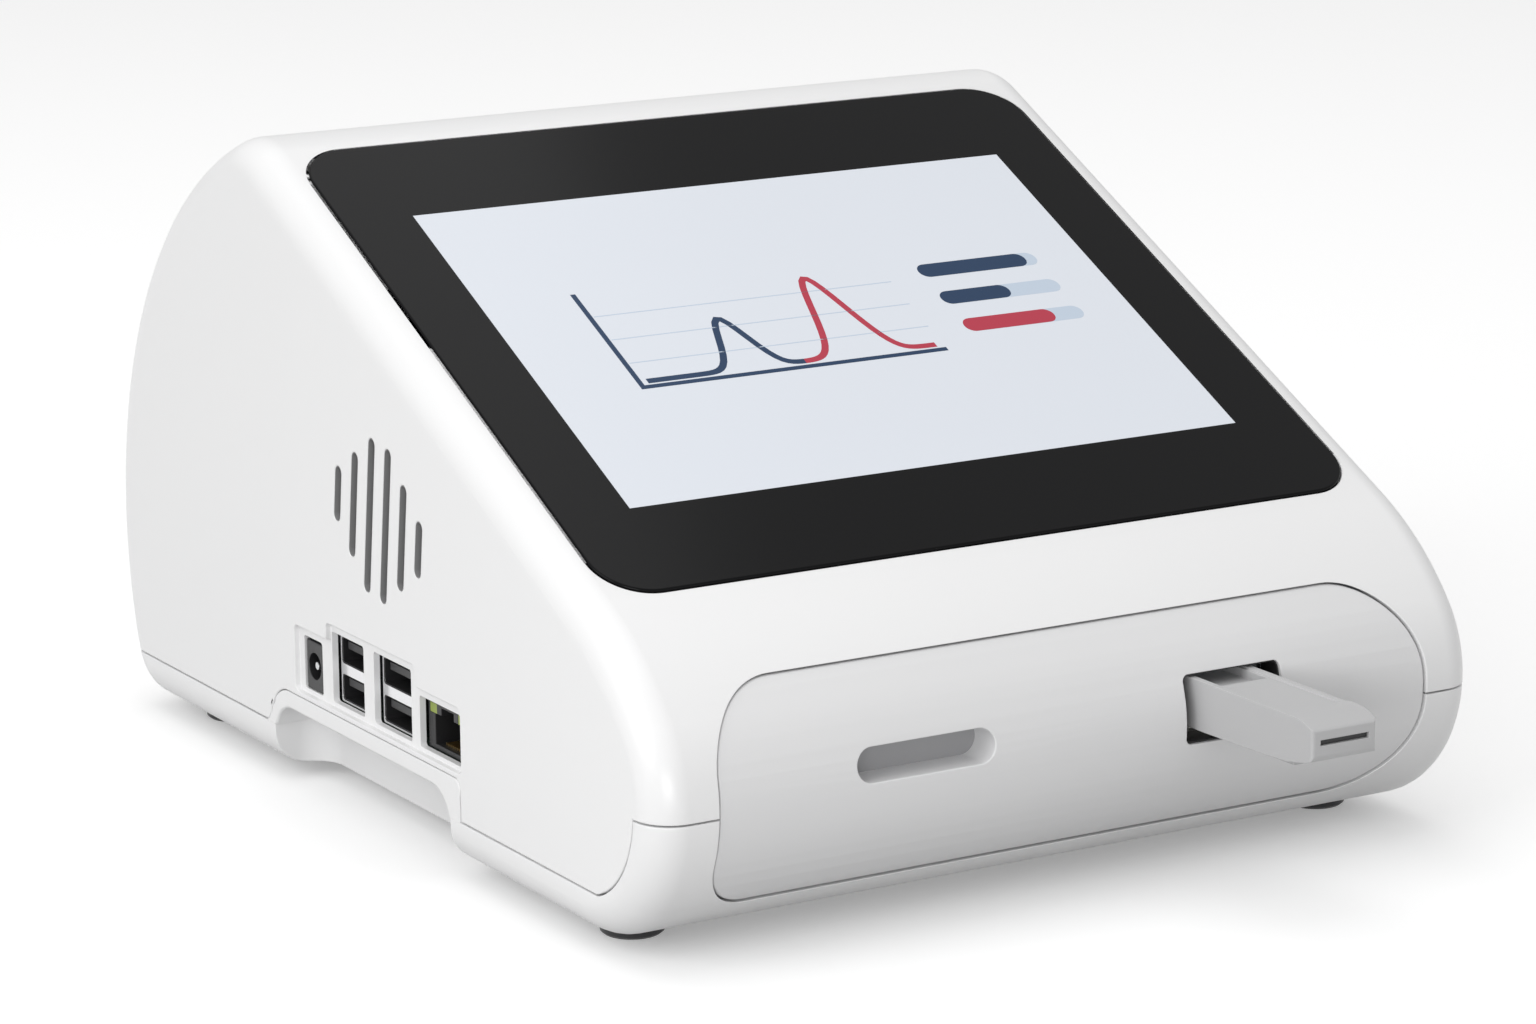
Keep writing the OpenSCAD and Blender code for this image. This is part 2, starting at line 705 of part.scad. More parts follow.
// Two lights in the upper corners of the jack, from x0 to their seat
module light_boxes(x0) for (s = [-1, 1]) {
    y = net_y + s * (net_w / 2 - light_edge - light_w / 2);
    z = board_top + net_h - light_top;
    box([port_x + x0, y - light_w / 2, z - light_h], [port_x + light_l, y + light_w / 2, z]);
}
module network_jack() color(black) place() difference() {
    box([port_x, net_y - net_w / 2, board_top], [port_x + 19, net_y + net_w / 2, board_top + net_h]);
    box([port_x - 1, net_y - net_mouth_w / 2, net_mouth_z],
        [port_x + net_mouth_d, net_y + net_mouth_w / 2, net_mouth_z + net_mouth_h]);
    box([port_x - 1, net_y - 3, net_mouth_z + net_mouth_h - 1],
        [port_x + 7, net_y + 3, net_mouth_z + net_mouth_h + 1.8]);
    light_boxes(-1);
}
module jack_lights() color([0.55, 0.62, 0.20]) place() light_boxes(0.1);
module jack_contacts() color([0.85, 0.68, 0.25]) place() for (i = [0:contact_n - 1])
    translate([0, net_y + (i - (contact_n - 1) / 2) * contact_pitch - contact_t / 2, net_mouth_z])
        box([port_x + 1.5, 0, 0], [port_x + 9, contact_t, 0.5]);

// Main board

board_x0 = port_x + 1;
board_x1 = -20;
board_y0 = 86;
foot_x = half_w - foot_side;
foot_rear_y = body_d - foot_back;
boss_x = half_w - boss_side;
boss_rear_y = body_d - boss_back;
board_y1 = boss_rear_y - 10;
// Larger chips: distance from the right and rear edges of the board, size across and along, height
board_chips = [[42, 74, 18, 18, 1.6], [42, 42, 22, 30, 1.2], [14, 92, 8, 40, 5]];
board_hole_x = [board_x0 + 25, board_x1 - 5];
board_hole_y = [board_y0 + 5, board_y1 - 5];
module main_board() color(board_green) place() difference() {
    union() {
        along_z(board_top - board_t, board_top) even_sheet(board_x0, board_x1, board_y0, board_y1, 2);
        for (c = board_chips) translate([board_x1 - c[0], board_y1 - c[1], board_top - bite])
            cube([c[2], c[3], c[4] + bite]);
    }
    for (x = board_hole_x, y = board_hole_y) translate([x, y, board_top - board_t - 1])
        cylinder(r = screw_r + 0.1, h = board_t + 2);
}
module board_standoffs() color([0.80, 0.66, 0.35]) place() for (x = board_hole_x, y = board_hole_y)
    translate([x, y, floor_z]) difference() {
        cylinder(r = 3.4, h = board_top - board_t - floor_z, $fn = 6);
        translate([0, 0, 6]) cylinder(r = screw_r + 0.05, h = board_top);
    }
module board_screws() color(steel) place() for (x = board_hole_x, y = board_hole_y)
    translate([x, y, board_top]) screw(screw_r, board_t + 5, 2);
sink_fins = 6;
sink_in = 1;
sink_base = 1.6;
sink_h = 7;
fin_t = 1;
sink_chip = board_chips[0];
sink_w = sink_chip[2] - 2 * sink_in;
sink_place = [board_x1 - sink_chip[0] + sink_in, board_y1 - sink_chip[1] + sink_in, board_top + sink_chip[4]];
module heat_sink() color([0.6, 0.62, 0.65]) place()
    translate(sink_place) {
        cube([sink_w, sink_w, sink_base]);
        for (i = [0:sink_fins - 1]) translate([i * (sink_w - fin_t) / (sink_fins - 1), 0, 0])
            cube([fin_t, sink_w, sink_h]);
    }

// Speaker behind the slots

speaker_r = 21;
magnet_r = 10.5;
magnet_z = 15;
pole_r = 8;
pole_z = 9.5;
speaker_x = -half_w + wall;
module speaker_place() translate([speaker_x, vent_y, vent_z]) rotate([0, 90, 0]) children();
module speaker_frame() color([0.2, 0.2, 0.22]) place() speaker_place() rotate_extrude()
    polygon([
        [speaker_r - 3, 0], [speaker_r, 0], [speaker_r, 1.5], [speaker_r - 1.5, 1.8],
        [magnet_r, pole_z - 0.5], [magnet_r, magnet_z], [0, magnet_z], [0, pole_z], [pole_r, pole_z],
        [pole_r, pole_z - 1.5], [magnet_r - 1, pole_z - 1.5], [speaker_r - 3, 1.6]]);
module speaker_cone() color([0.12, 0.12, 0.13]) place() speaker_place() rotate_extrude()
    polygon([
        [speaker_r - 3.1, 0.6], [speaker_r - 3.1, 1.4], [8.2, 7.4], [0, 5.4], [0, 4.9], [5, 6], [7.5, 6.7]]);

module sound_slots() translate([vent_y, vent_z]) rotate(vent_lean) for (i = [0:vent_n - 1]) {
    l = vent_l - vent_step * max(0, abs(i - (vent_n - 1) / 2) - 0.5);
    translate([vent_pitch * (i - (vent_n - 1) / 2), 0])
        even_sheet(-vent_w / 2, vent_w / 2, -l / 2, l / 2, vent_w / 2 - 0.01);
}

// Power switch in the back

switch_out_y = body_d - switch_sink;
bezel_t = 1.2;
bezel_rim = 1.3;
bezel_y = switch_out_y - bezel_t;
switch_fit = 0.1;
rocker_w = 9.2;
rocker_h = 14;
rocker_front = 4.2;
rocker_y = switch_out_y - rocker_front;
rocker_pin_r = 1;
rocker_play = 0.05;
rocker_room = 0.8;
switch_pad = 3.5;
module switch_sheet(g) even_sheet(switch_x - switch_w / 2 - g, switch_x + switch_w / 2 + g,
    switch_z - switch_h / 2 - g, switch_z + switch_h / 2 + g, 1 + max(0, g));
module power_switch() color(black) place() difference() {
    union() {
        along_y(bezel_y - 13, bezel_y + bite) switch_sheet(0);
        along_y(bezel_y, switch_out_y) switch_sheet(bezel_rim);
    }
    box([switch_x - rocker_w / 2 - 0.2, rocker_y - 5, switch_z - rocker_h / 2 - rocker_room],
        [switch_x + rocker_w / 2 + 0.2, body_d + 1, switch_z + rocker_h / 2 + rocker_room]);
    translate([0, rocker_y, switch_z])
        rod_x(rocker_pin_r + rocker_play, switch_x - rocker_w / 2 - 1.4, switch_x + rocker_w / 2 + 1.4);
}
module power_rocker() color([0.15, 0.15, 0.16]) place() translate([switch_x, rocker_y, switch_z])
    rotate([-rocker_tilt, 0, 0]) {
        along_x(-rocker_w / 2, rocker_w / 2) polygon([
            [-2.5, -2], [-1, -rocker_h / 2 + 0.8], [rocker_front - 0.6, -rocker_h / 2],
            [rocker_front, -rocker_h / 2 + 0.8],
            [rocker_front - 0.9, 0], [rocker_front, rocker_h / 2 - 0.8], [rocker_front - 0.6, rocker_h / 2],
            [-1, rocker_h / 2 - 0.8], [-2.5, 2]]);
        rod_x(rocker_pin_r, -rocker_w / 2 - 1.2, rocker_w / 2 + 1.2);
    }

// Housings

boss_r = 5;
upper_post_top = split_z + 24;
head_r = 2 * screw_r;
head_h = 2.4;
boss_seat_z = bottom_z + head_h + 1;
module housing_boss_places() for (y = [boss_front_y, boss_rear_y]) translate([boss_x, y, 0]) children();

module upper_housing() color(white) place() difference() {
    union() {
        difference() {
            intersection() {
                body_form(0, edge_r, 6);
                above_split(seam);
            }
            body_form(wall, edge_r - wall, 3);
        }
        mirrored() housing_boss_places() {
            translate([0, 0, split_z]) cylinder(r = boss_r, h = upper_post_top - split_z);
            box([0, -1, split_z + 4], [half_w - wall + bite - boss_x, 1, upper_post_top]);
        }
        on_slope() display_posts(display_post_r);
        speaker_place() difference() {
            translate([0, 0, -bite]) cylinder(r = speaker_r + 1.8, h = 3 + bite);
            translate([0, 0, -1]) cylinder(r = speaker_r + 0.2, h = 5);
        }
        box([switch_x - switch_w / 2 - switch_pad, bezel_y - wall, switch_z - switch_h / 2 - switch_pad],
            [switch_x + switch_w / 2 + switch_pad, body_d - wall + 0.6, switch_z + switch_h / 2 + switch_pad]);
    }
    on_slope() {
        translate([0, 0, -seat_d]) linear_extrude(past) glass_outline(glass_gap);
        translate([-view_x, view_v0, -past]) cube([2 * view_x, view_v1 - view_v0, 2 * past]);
        translate([0, 0, -0.6]) display_posts(small_screw_r + 0.05);
    }
    along_y(-past, panel_reach) panel_outline(panel_gap);
    along_x(-half_w - past, -half_w + pocket_d) pocket_outline();
    along_x(-half_w - past, -half_w + wall + 2) port_openings();
    along_x(-half_w - past, -half_w + wall + 0.1) sound_slots();
    along_x(-half_w - past, -half_w + wall + 2) arch_outline(0.25);
    mirrored() housing_boss_places() translate([0, 0, split_z - 1]) cylinder(r = screw_r + 0.05, h = 18);
    along_y(bezel_y - past, body_d + past) switch_sheet(switch_fit);
    along_y(bezel_y, body_d + past) switch_sheet(bezel_rim + 0.2);
}

tab_l = 14;
tab_t = 1.6;
tab_gap = 0.15;
tab_hold = 5;
tab_up = 3;
tab_y = [boss_front_y + 18, boss_rear_y + 12];
tab_mid_y = (boss_front_y + boss_rear_y) / 2;
chassis_z = floor_z + chassis_up;
chassis_x0 = tray_x0 - slide_gap - chassis_wall;
chassis_x1 = rail_x1 + slide_gap + chassis_wall;
chassis_plate_x0 = chassis_x0 - 8;
chassis_plate_x1 = boss_x - boss_r - 1.4;
chassis_hole_x = [chassis_plate_x0 + 4, chassis_plate_x1 - 4];
chassis_hole_y = [chassis_y0 + 6, chassis_y1 - 6];

module lower_housing() color(white) place() difference() {
    union() {
        difference() {
            body_form(0, edge_r, 6);
            above_split(0);
            difference() {
                body_form(wall, edge_r - wall, 3);
                along_z(0, split_z) sheet(-half_w - 1, recess_x + recess_wall, recess_y0 - recess_wall,
                    recess_y1 + recess_wall, [0, recess_r, recess_r, 0]);
            }
        }
        mirrored() housing_boss_places() translate([0, 0, bottom_z])
            cylinder(r = boss_r, h = split_z - bottom_z);
        mirrored() for (y = [foot_front_y, foot_rear_y]) translate([foot_x, y, bottom_z])
            cylinder(r = boss_r - 1, h = split_z - bottom_z);
        for (x = chassis_hole_x, y = chassis_hole_y) translate([x, y, bottom_z + 1])
            cylinder(r = boss_r - 1, h = chassis_z - bottom_z - 1);
        for (s = [-1, 1], y = s > 0 ? concat(tab_y, [tab_mid_y]) : tab_y)
            translate([s * (half_w - wall - tab_t / 2 - tab_gap), y, 0]) {
                translate([-tab_t / 2, -tab_l / 2, split_z - tab_hold]) cube([tab_t, tab_l, tab_hold + tab_up]);
                translate([-tab_t / 2 - (s < 0 ? 2 * tab_gap : 0), -tab_l / 2, split_z - tab_hold])
                    cube([tab_t + 2 * tab_gap, tab_l, tab_hold - 0.2]);
            }
    }
    recess_cut(split_z + 1);
    along_y(-past, panel_reach) panel_outline(panel_gap);
    mirrored() housing_boss_places() {
        cylinder(r = head_r + 0.3, h = boss_seat_z);
        cylinder(r = screw_r + 0.2, h = split_z + 1);
    }
    mirrored() for (y = [foot_front_y, foot_rear_y]) translate([foot_x, y, 0])
        cylinder(r = screw_r + 0.05, h = split_z - 2);
    for (x = chassis_hole_x, y = chassis_hole_y) translate([x, y, bottom_z + 2])
        cylinder(r = screw_r + 0.05, h = chassis_z);
}

housing_screw_grip = 14;
module housing_screws() color(steel) place() mirrored() housing_boss_places()
    translate([0, 0, boss_seat_z]) rotate([180, 0, 0])
        screw(screw_r, split_z + housing_screw_grip - boss_seat_z, head_h);

// Feet

foot_seat_z = 2;
module foot(x, y) color([0.13, 0.13, 0.14]) place() translate([x, y, 0]) rotate_extrude() difference() {
    polygon([
        [screw_r + 0.1, 0], [foot_r - 1.2, 0], [foot_r - 0.5, 0.6], [foot_r, foot_h], [screw_r + 0.1, foot_h]]);
    translate([0, -1]) square([head_r + 0.3, foot_seat_z + 1]);
}
module foot_front_left() foot(-foot_x, foot_front_y);
module foot_front_right() foot(foot_x, foot_front_y);
module foot_rear_left() foot(-foot_x, foot_rear_y);
module foot_rear_right() foot(foot_x, foot_rear_y);
module foot_screws() color(steel) place() mirrored() for (y = [foot_front_y, foot_rear_y])
    translate([foot_x, y, foot_seat_z]) rotate([180, 0, 0]) screw(screw_r, foot_h + 5, 1.5);

// Card tray with its rack

tip_y = -tray_out;
tip_z0 = tray_z + 3.3;
tip_z1 = tray_top - 1.5;
head_y = tip_y + 11.4;
slit_z = tip_z0 + 2.8;
head_w = 0.7;
flag_l = 8;
flag_t = 1.5;
flag_z = tray_z + 2.2;
module card_tray() color(mid_grey) place() difference() {
    union() {
        intersection() {
            along_x(tray_x0, tray_x1 + head_w) polygon([
                [tray_in, tray_z], [-2, tray_z], [tip_y + 17, tray_z + 0.5], [tip_y + 9, tray_z + 0.9],
                [tip_y + 2.2, tip_z0 - 1.2], [tip_y + 0.6, tip_z0 - 0.6], [tip_y, tip_z0 + 0.6],
                [tip_y, tip_z1 - 0.5], [tip_y + 0.5, tip_z1], [tip_y + 3, tray_top - 0.5],
                [tip_y + 5.4, tray_top], [tray_in, tray_top]]);
            along_z(tray_z - 1, tray_top + 1) polygon([
                [tray_x0, tray_in], [tray_x0, tip_y + 1], [tray_x0 + 0.3, tip_y + 0.3], [tray_x0 + 1, tip_y],
                [tray_x1 - 0.8, tip_y], [tray_x1, tip_y + 0.8], [tray_x1 + 0.2, tip_y + 4],
                [tray_x1 + head_w, tip_y + 9], [tray_x1 + head_w, head_y - 1], [tray_x1, head_y],
                [tray_x1, tray_in]]);
        }
        along_z(rail_z0, rail_z1) polygon([
            [tray_x1 - bite, tray_in], [rail_x1, tray_in], [rail_x1, head_y + 9.6],
            [rail_x1 - 1.5, head_y + 5.6], [tray_x1 + head_w, head_y], [tray_x1 - bite, head_y]]);
        translate([tray_x0 + 2, tip_y + 9, tip_z0 - 3.6]) cube([tray_w - 4, 8, 2]);
        box([tray_x - flag_t / 2, tray_in - bite, flag_z], [tray_x + flag_t / 2, tray_in + flag_l, flag_z + 6]);
    }
    along_x(tray_x - nest_w / 2, tray_x + nest_w / 2) polygon([
        [-nest_front, tray_top + 0.01], [-nest_front + 1.5, tray_top - nest_d], [nest_back, tray_top - nest_d],
        [nest_back, tray_top + 1], [-nest_front, tray_top + 1]]);
    box([tray_x - apron_w / 2, -apron_front, tray_top - apron_d],
        [tray_x + apron_w / 2, nest_back, tray_top + 1]);
    box([tray_x - slit_w / 2, tip_y - 1, slit_z], [tray_x + slit_w / 2, tip_y + 6, slit_z + slit_h]);
    box([tray_x0 + 2.4, 18, tray_z + 3], [tray_x1 - 2.4, 46, tray_top - nest_d - 1.6]);
}

pitch_r = tooth_m * pinion_teeth / 2;
root_gap = 0.25 * tooth_m;
rack_root_z = tray_z - rack_base;
rack_pitch_z = rack_root_z - tooth_m - root_gap;
pinion_z = rack_pitch_z - pitch_r - backlash;
tooth_pitch = PI * tooth_m;
rack_end = tray_in;
rack_start = 10;
rack_teeth = floor((rack_end - rack_start) / tooth_pitch) - 1;
rack_first = pinion_y - floor((pinion_y - rack_start - tooth_pitch) / tooth_pitch) * tooth_pitch;
tooth_half = tooth_pitch / 4 - backlash / 2;
module tray_rack() color([0.9, 0.9, 0.88]) place() along_x(tray_x - rack_w / 2, tray_x + rack_w / 2) union() {
    translate([rack_start, rack_root_z - 0.02]) square([rack_end - rack_start, rack_base + 0.02]);
    for (i = [0:rack_teeth - 1]) translate([rack_first + i * tooth_pitch, rack_pitch_z]) polygon([
        [-tooth_half - (tooth_m + root_gap) * tan(pressure_a), tooth_m + root_gap],
        [-tooth_half + tooth_m * tan(pressure_a), -tooth_m],
        [tooth_half - tooth_m * tan(pressure_a), -tooth_m],
        [tooth_half + (tooth_m + root_gap) * tan(pressure_a), tooth_m + root_gap]]);
}

base_r = pitch_r * cos(pressure_a);
tip_r = pitch_r + tooth_m;
root_r = pitch_r - tooth_m - root_gap;
function unwind(r) = r <= base_r ? 0 : sqrt(pow(r / base_r, 2) - 1) * 180 / PI - acos(base_r / r);
tooth_a = 360 / pinion_teeth;
half_tooth_a = tooth_a / 4 - backlash / (4 * pitch_r) * 180 / PI + unwind(pitch_r);
flank_radii = [root_r, base_r, base_r + (tip_r - base_r) * 0.3, base_r + (tip_r - base_r) * 0.65, tip_r];
function flank(side, a) = [for (i = [0:len(flank_radii) - 1])
    let (r = flank_radii[side < 0 ? i : len(flank_radii) - 1 - i], t = a + side * (half_tooth_a - unwind(r)))
    r * [cos(t), sin(t)]];
module pinion_sheet() polygon([for (i = [0:pinion_teeth - 1]) each concat(
    flank(-1, (i + 0.5) * tooth_a + 90), flank(1, (i + 0.5) * tooth_a + 90))]);
module drive_pinion() color([0.92, 0.92, 0.88]) place() translate([0, pinion_y, pinion_z]) difference() {
    along_x(tray_x - pinion_w / 2, tray_x + pinion_w / 2) pinion_sheet();
    rod_x(shaft_r + 0.02, tray_x - pinion_w, tray_x + pinion_w);
}

motor_x = chassis_x1;
motor_flange_t = 2;
motor_ear = motor_r + 4.5;
shaft_x0 = tray_x - pinion_w / 2 - 2;
module motor_shaft() color(steel) place() translate([0, pinion_y, pinion_z])
    rod_x(shaft_r, shaft_x0, motor_x + motor_l - 3);
module tray_motor() color([0.35, 0.36, 0.38]) place() translate([0, pinion_y, pinion_z]) difference() {
    union() {
        rod_x(motor_r, motor_x, motor_x + motor_l);
        along_x(motor_x, motor_x + motor_flange_t) union() {
            translate([-motor_ear, -4]) square([2 * motor_ear, 8]);
            for (s = [-1, 1]) translate([s * motor_ear, 0]) circle(4);
        }
    }
    rod_x(shaft_r + shaft_gap, motor_x - 1, motor_x + motor_l - 2.5);
    for (s = [-1, 1]) translate([0, s * motor_ear, 0]) rod_x(small_screw_r + 0.1, motor_x - 1, motor_x + 3);
}
module motor_screws() color(steel) place() for (s = [-1, 1])
    translate([motor_x + motor_flange_t, pinion_y + s * motor_ear, pinion_z]) rotate([0, 90, 0])
        screw(small_screw_r, motor_flange_t + chassis_wall - 0.5, small_head_h);

// Reader chassis

ledge_w = 2.4;
lip_t = 2;
rear_wall_z = tray_z + 6;
chassis_window_z = 5;
chassis_window_l = 54;
module reader_chassis() color([0.45, 0.46, 0.48]) place() difference() {
    union() {
        along_z(chassis_z, chassis_z + chassis_t)
            even_sheet(chassis_plate_x0, chassis_plate_x1, chassis_y0, chassis_y1, 3);
        box([chassis_x0, chassis_y0, chassis_z], [chassis_x0 + chassis_wall, chassis_y1, chassis_top]);
        box([chassis_x1 - chassis_wall, chassis_y0, chassis_z], [chassis_x1, chassis_y1, chassis_top]);
        box([chassis_x0, chassis_y1 - chassis_wall, chassis_z], [chassis_x1, chassis_y1, rear_wall_z]);
        box([tray_x0 - slide_gap - bite, chassis_y0, tray_z - slide_gap - lip_t],
            [tray_x0 - slide_gap + ledge_w, chassis_y1, tray_z - slide_gap]);
        box([tray_x0 - slide_gap - bite, chassis_y0, tray_top + slide_gap],
            [tray_x0 - slide_gap + ledge_w - 0.6, chassis_y1, tray_top + slide_gap + lip_t]);
        box([rail_x1 + slide_gap - ledge_w, chassis_y0, rail_z0 - slide_gap - lip_t],
            [rail_x1 + slide_gap + bite, chassis_y1, rail_z0 - slide_gap]);
        box([rail_x1 + slide_gap - ledge_w, chassis_y0, rail_z1 + slide_gap],
            [rail_x1 + slide_gap + bite, chassis_y1, rail_z1 + slide_gap + lip_t]);
    }
    for (x = chassis_hole_x, y = chassis_hole_y) translate([x, y, chassis_z - 1])
        cylinder(r = screw_r + 0.1, h = chassis_t + 2);
    translate([0, pinion_y, pinion_z]) rod_x(shaft_r + 0.6, chassis_x1 - chassis_wall - 1, chassis_x1 + 1);
    for (s = [-1, 1]) translate([0, pinion_y + s * motor_ear, pinion_z])
        rod_x(small_screw_r + 0.05, chassis_x1 - chassis_wall - 1, chassis_x1 + 1);
    box([chassis_x0 - 1, pinion_y - chassis_window_l / 2, chassis_z + chassis_t + chassis_window_z],
        [chassis_x0 + chassis_wall + 1, pinion_y + chassis_window_l / 2, tray_z - slide_gap - lip_t - 4]);
}
module chassis_screws() color(steel) place() for (x = chassis_hole_x, y = chassis_hole_y)
    translate([x, y, chassis_z + chassis_t]) screw(screw_r, chassis_t + chassis_z - bottom_z - 3, 2);

sensor_gap = 1.2;
module home_sensor() color(black) place() difference() {
    box([tray_x - 5, tray_in + tray_travel + 1.2, flag_z - 2.4],
        [tray_x + 5, chassis_y1 - chassis_wall, flag_z + 7]);
    box([tray_x - flag_t / 2 - sensor_gap, tray_in + tray_travel, flag_z - 0.8],
        [tray_x + flag_t / 2 + sensor_gap, tray_in + tray_travel + flag_l + 0.8, flag_z + 8]);
}

// Optics over the closed nest

optics_z0 = chassis_top + chassis_t;
optics_w = 26;
optics_l = 36;
optics_y0 = optics_y - 14;
fold_z = optics_z0 + optics_h / 2;
module optics_path() translate([tray_x, optics_y, 0]) children();
module optics_bracket() color(steel) place() difference() {
    along_z(chassis_top, optics_z0)
        even_sheet(chassis_x0, chassis_x1, optics_y0 - 5, optics_y0 + optics_l + 5, 2);
    optics_path() translate([0, 0, chassis_top - 1]) cylinder(r = light_r + 0.5, h = chassis_t + 2);
}
module optics_block() color(black) place() difference() {
    box([tray_x - optics_w / 2, optics_y0, optics_z0],
        [tray_x + optics_w / 2, optics_y0 + optics_l, optics_z0 + optics_h]);
    optics_path() translate([0, 0, optics_z0 - 1]) cylinder(r = light_r, h = optics_h + 2);
    optics_path() translate([0, 0, fold_z]) rotate([-90, 0, 0]) cylinder(r = light_r, h = optics_l);
    optics_path() translate([0, 0, fold_z]) rotate([45, 0, 0])
        cube([2 * light_r + 2, 2 * light_r + 4, 1.4], center = true);
}
module objective_lens() color([0.75, 0.85, 0.95, 0.6]) place() optics_path()
    translate([0, 0, optics_z0 + 1]) cylinder(r = light_r - 0.02, h = 2.5);
module emission_filter() color([0.3, 0.7, 0.4, 0.7]) place() optics_path()
    translate([0, 0, optics_z0 + optics_h - 3]) cylinder(r = light_r - 0.02, h = 1.5);
module beam_splitter() color([0.6, 0.75, 0.9, 0.6]) place() optics_path() translate([0, 0, fold_z])
    rotate([45, 0, 0]) cube([2 * light_r + 1.6, 2 * light_r + 3.6, 1], center = true);
module detector_board() color(board_green) place() optics_path() translate([0, 0, optics_z0 + optics_h]) {
    translate([-10, -10, 0]) cube([20, 20, 1.6]);
    translate([0, 0, -1.2]) cylinder(r = light_r - 0.5, h = 1.2 + bite);
}
module excitation_lens() color([0.75, 0.85, 0.95, 0.6]) place() optics_path()
    translate([0, 12, fold_z]) rotate([-90, 0, 0]) cylinder(r = light_r - 0.02, h = 2.5);
module lamp_board() color(board_green) place() translate([tray_x, optics_y0 + optics_l, fold_z]) {
    translate([-9, 0, -8]) cube([18, 1.6, 16]);
    translate([0, -3, 0]) rotate([-90, 0, 0]) cylinder(r = light_r - 1, h = 3 + bite);
}

upper_housing();
lower_housing();
recess_arch();
front_panel();
cover_glass();
border_print();
glass_gasket();
display_module();
display_bracket();
display_screws();
card_tray();
tray_rack();
drive_pinion();
motor_shaft();
tray_motor();
motor_screws();
home_sensor();
reader_chassis();
chassis_screws();
optics_bracket();
optics_block();
objective_lens();
beam_splitter();
emission_filter();
detector_board();
excitation_lens();
lamp_board();
chip_reader();
chip_board();
main_board();
board_standoffs();
board_screws();
heat_sink();
dc_jack();
dc_pin();
usb_shell_rear();
usb_insert_rear();
usb_shell_front();
usb_insert_front();
network_jack();
jack_lights();
jack_contacts();
speaker_frame();
speaker_cone();
foot_front_left();
foot_front_right();
foot_rear_left();
foot_rear_right();
foot_screws();
housing_screws();
power_switch();
power_rocker();
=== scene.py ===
# Bench analyzer with a sloped touch screen and a card tray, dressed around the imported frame.
import json
from math import asin, atan2, cos, degrees, exp, hypot, pi, radians, sin, sqrt

import bmesh
import bpy
from mathutils import Matrix, Vector

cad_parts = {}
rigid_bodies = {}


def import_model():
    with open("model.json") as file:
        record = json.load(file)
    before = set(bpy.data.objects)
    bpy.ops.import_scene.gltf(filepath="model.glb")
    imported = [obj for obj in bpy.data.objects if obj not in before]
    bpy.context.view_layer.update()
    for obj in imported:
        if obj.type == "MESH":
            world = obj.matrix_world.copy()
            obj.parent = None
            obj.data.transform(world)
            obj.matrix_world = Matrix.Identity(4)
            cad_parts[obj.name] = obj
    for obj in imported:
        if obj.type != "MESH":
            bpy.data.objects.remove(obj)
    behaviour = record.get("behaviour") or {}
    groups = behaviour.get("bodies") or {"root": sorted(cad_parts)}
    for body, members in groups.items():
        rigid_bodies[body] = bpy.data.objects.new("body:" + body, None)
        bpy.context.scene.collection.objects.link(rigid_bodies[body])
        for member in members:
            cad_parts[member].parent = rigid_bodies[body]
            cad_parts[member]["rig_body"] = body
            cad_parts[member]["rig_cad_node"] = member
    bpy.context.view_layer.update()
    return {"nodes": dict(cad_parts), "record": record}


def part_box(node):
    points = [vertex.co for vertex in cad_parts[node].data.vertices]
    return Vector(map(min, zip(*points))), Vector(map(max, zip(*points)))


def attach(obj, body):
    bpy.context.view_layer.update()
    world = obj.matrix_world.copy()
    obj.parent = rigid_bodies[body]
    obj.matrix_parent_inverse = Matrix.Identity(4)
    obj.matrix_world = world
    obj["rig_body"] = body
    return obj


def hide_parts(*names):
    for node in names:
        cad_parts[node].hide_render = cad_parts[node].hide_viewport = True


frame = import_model()
nodes = frame["nodes"]
bpy.context.scene.view_settings.view_transform = "Standard"

# Sizes in millimetres: across from the middle, behind the nose, above the floor.
# The body's outline is a chain of arcs: chin, nose, brow, slope, apex, back and heel.
MM = 0.001
NOSE_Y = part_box("upper_housing")[0].y
HALF_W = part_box("upper_housing")[1].x / MM
BOTTOM_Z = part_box("lower_housing")[0].z / MM
WALL = 3.0
CHIN_R = 32.8
NOSE_R = 29.5
NOSE_RISE = 38.0
BROW_R = 71.8
SLOPE_A = 25.9
BACK_REACH = 79.6
BACK_Z = 47.7
APEX_R = 21.4
HEEL_R = 14.5
EDGE_R = 8.4
SPLIT_Z = BOTTOM_Z + 10.4
SPLIT_FRONT_Z = BOTTOM_Z + CHIN_R - 1.9
SPLIT_R = CHIN_R - EDGE_R - 0.8
SEAM = 0.4

# Screen
GLASS_W = 195.0
GLASS_L = 167.7
GLASS_T = 2.0
GLASS_START = 1.4
GLASS_RIDGE = 1.6
GLASS_PROUD = 0.5
GLASS_CORNER = 12.3
SEAT_D = 2.0
SEAT_GAP = 0.3
LCD_W = 159.4
LCD_L = 111.7
LCD_LOW = 27.2
VIEW_RIM = 6.0

# Front panel
PANEL_X0 = -HALF_W + 16
PANEL_X1 = HALF_W - 15
PANEL_Z0 = 12.9
PANEL_Z1 = 60.2
PANEL_REACH = 22.0
PANEL_SINK = 0.5
PANEL_T = 2.4
PANEL_GAP = 0.5
SLEEVE_T = 1.6
SLEEVE_L = 9.0
CHIP = (-57.2, -22.8, 36.6, 44.2)
CHIP_R = 3.79
WINDOW = (26.9, 52.9, 32.4, 47.7)
WINDOW_R = 1.6

# How far a cutter reaches past what it cuts
PAST = 12.0

# From this angle in degrees an edge is sharp
SHARP_A = 32

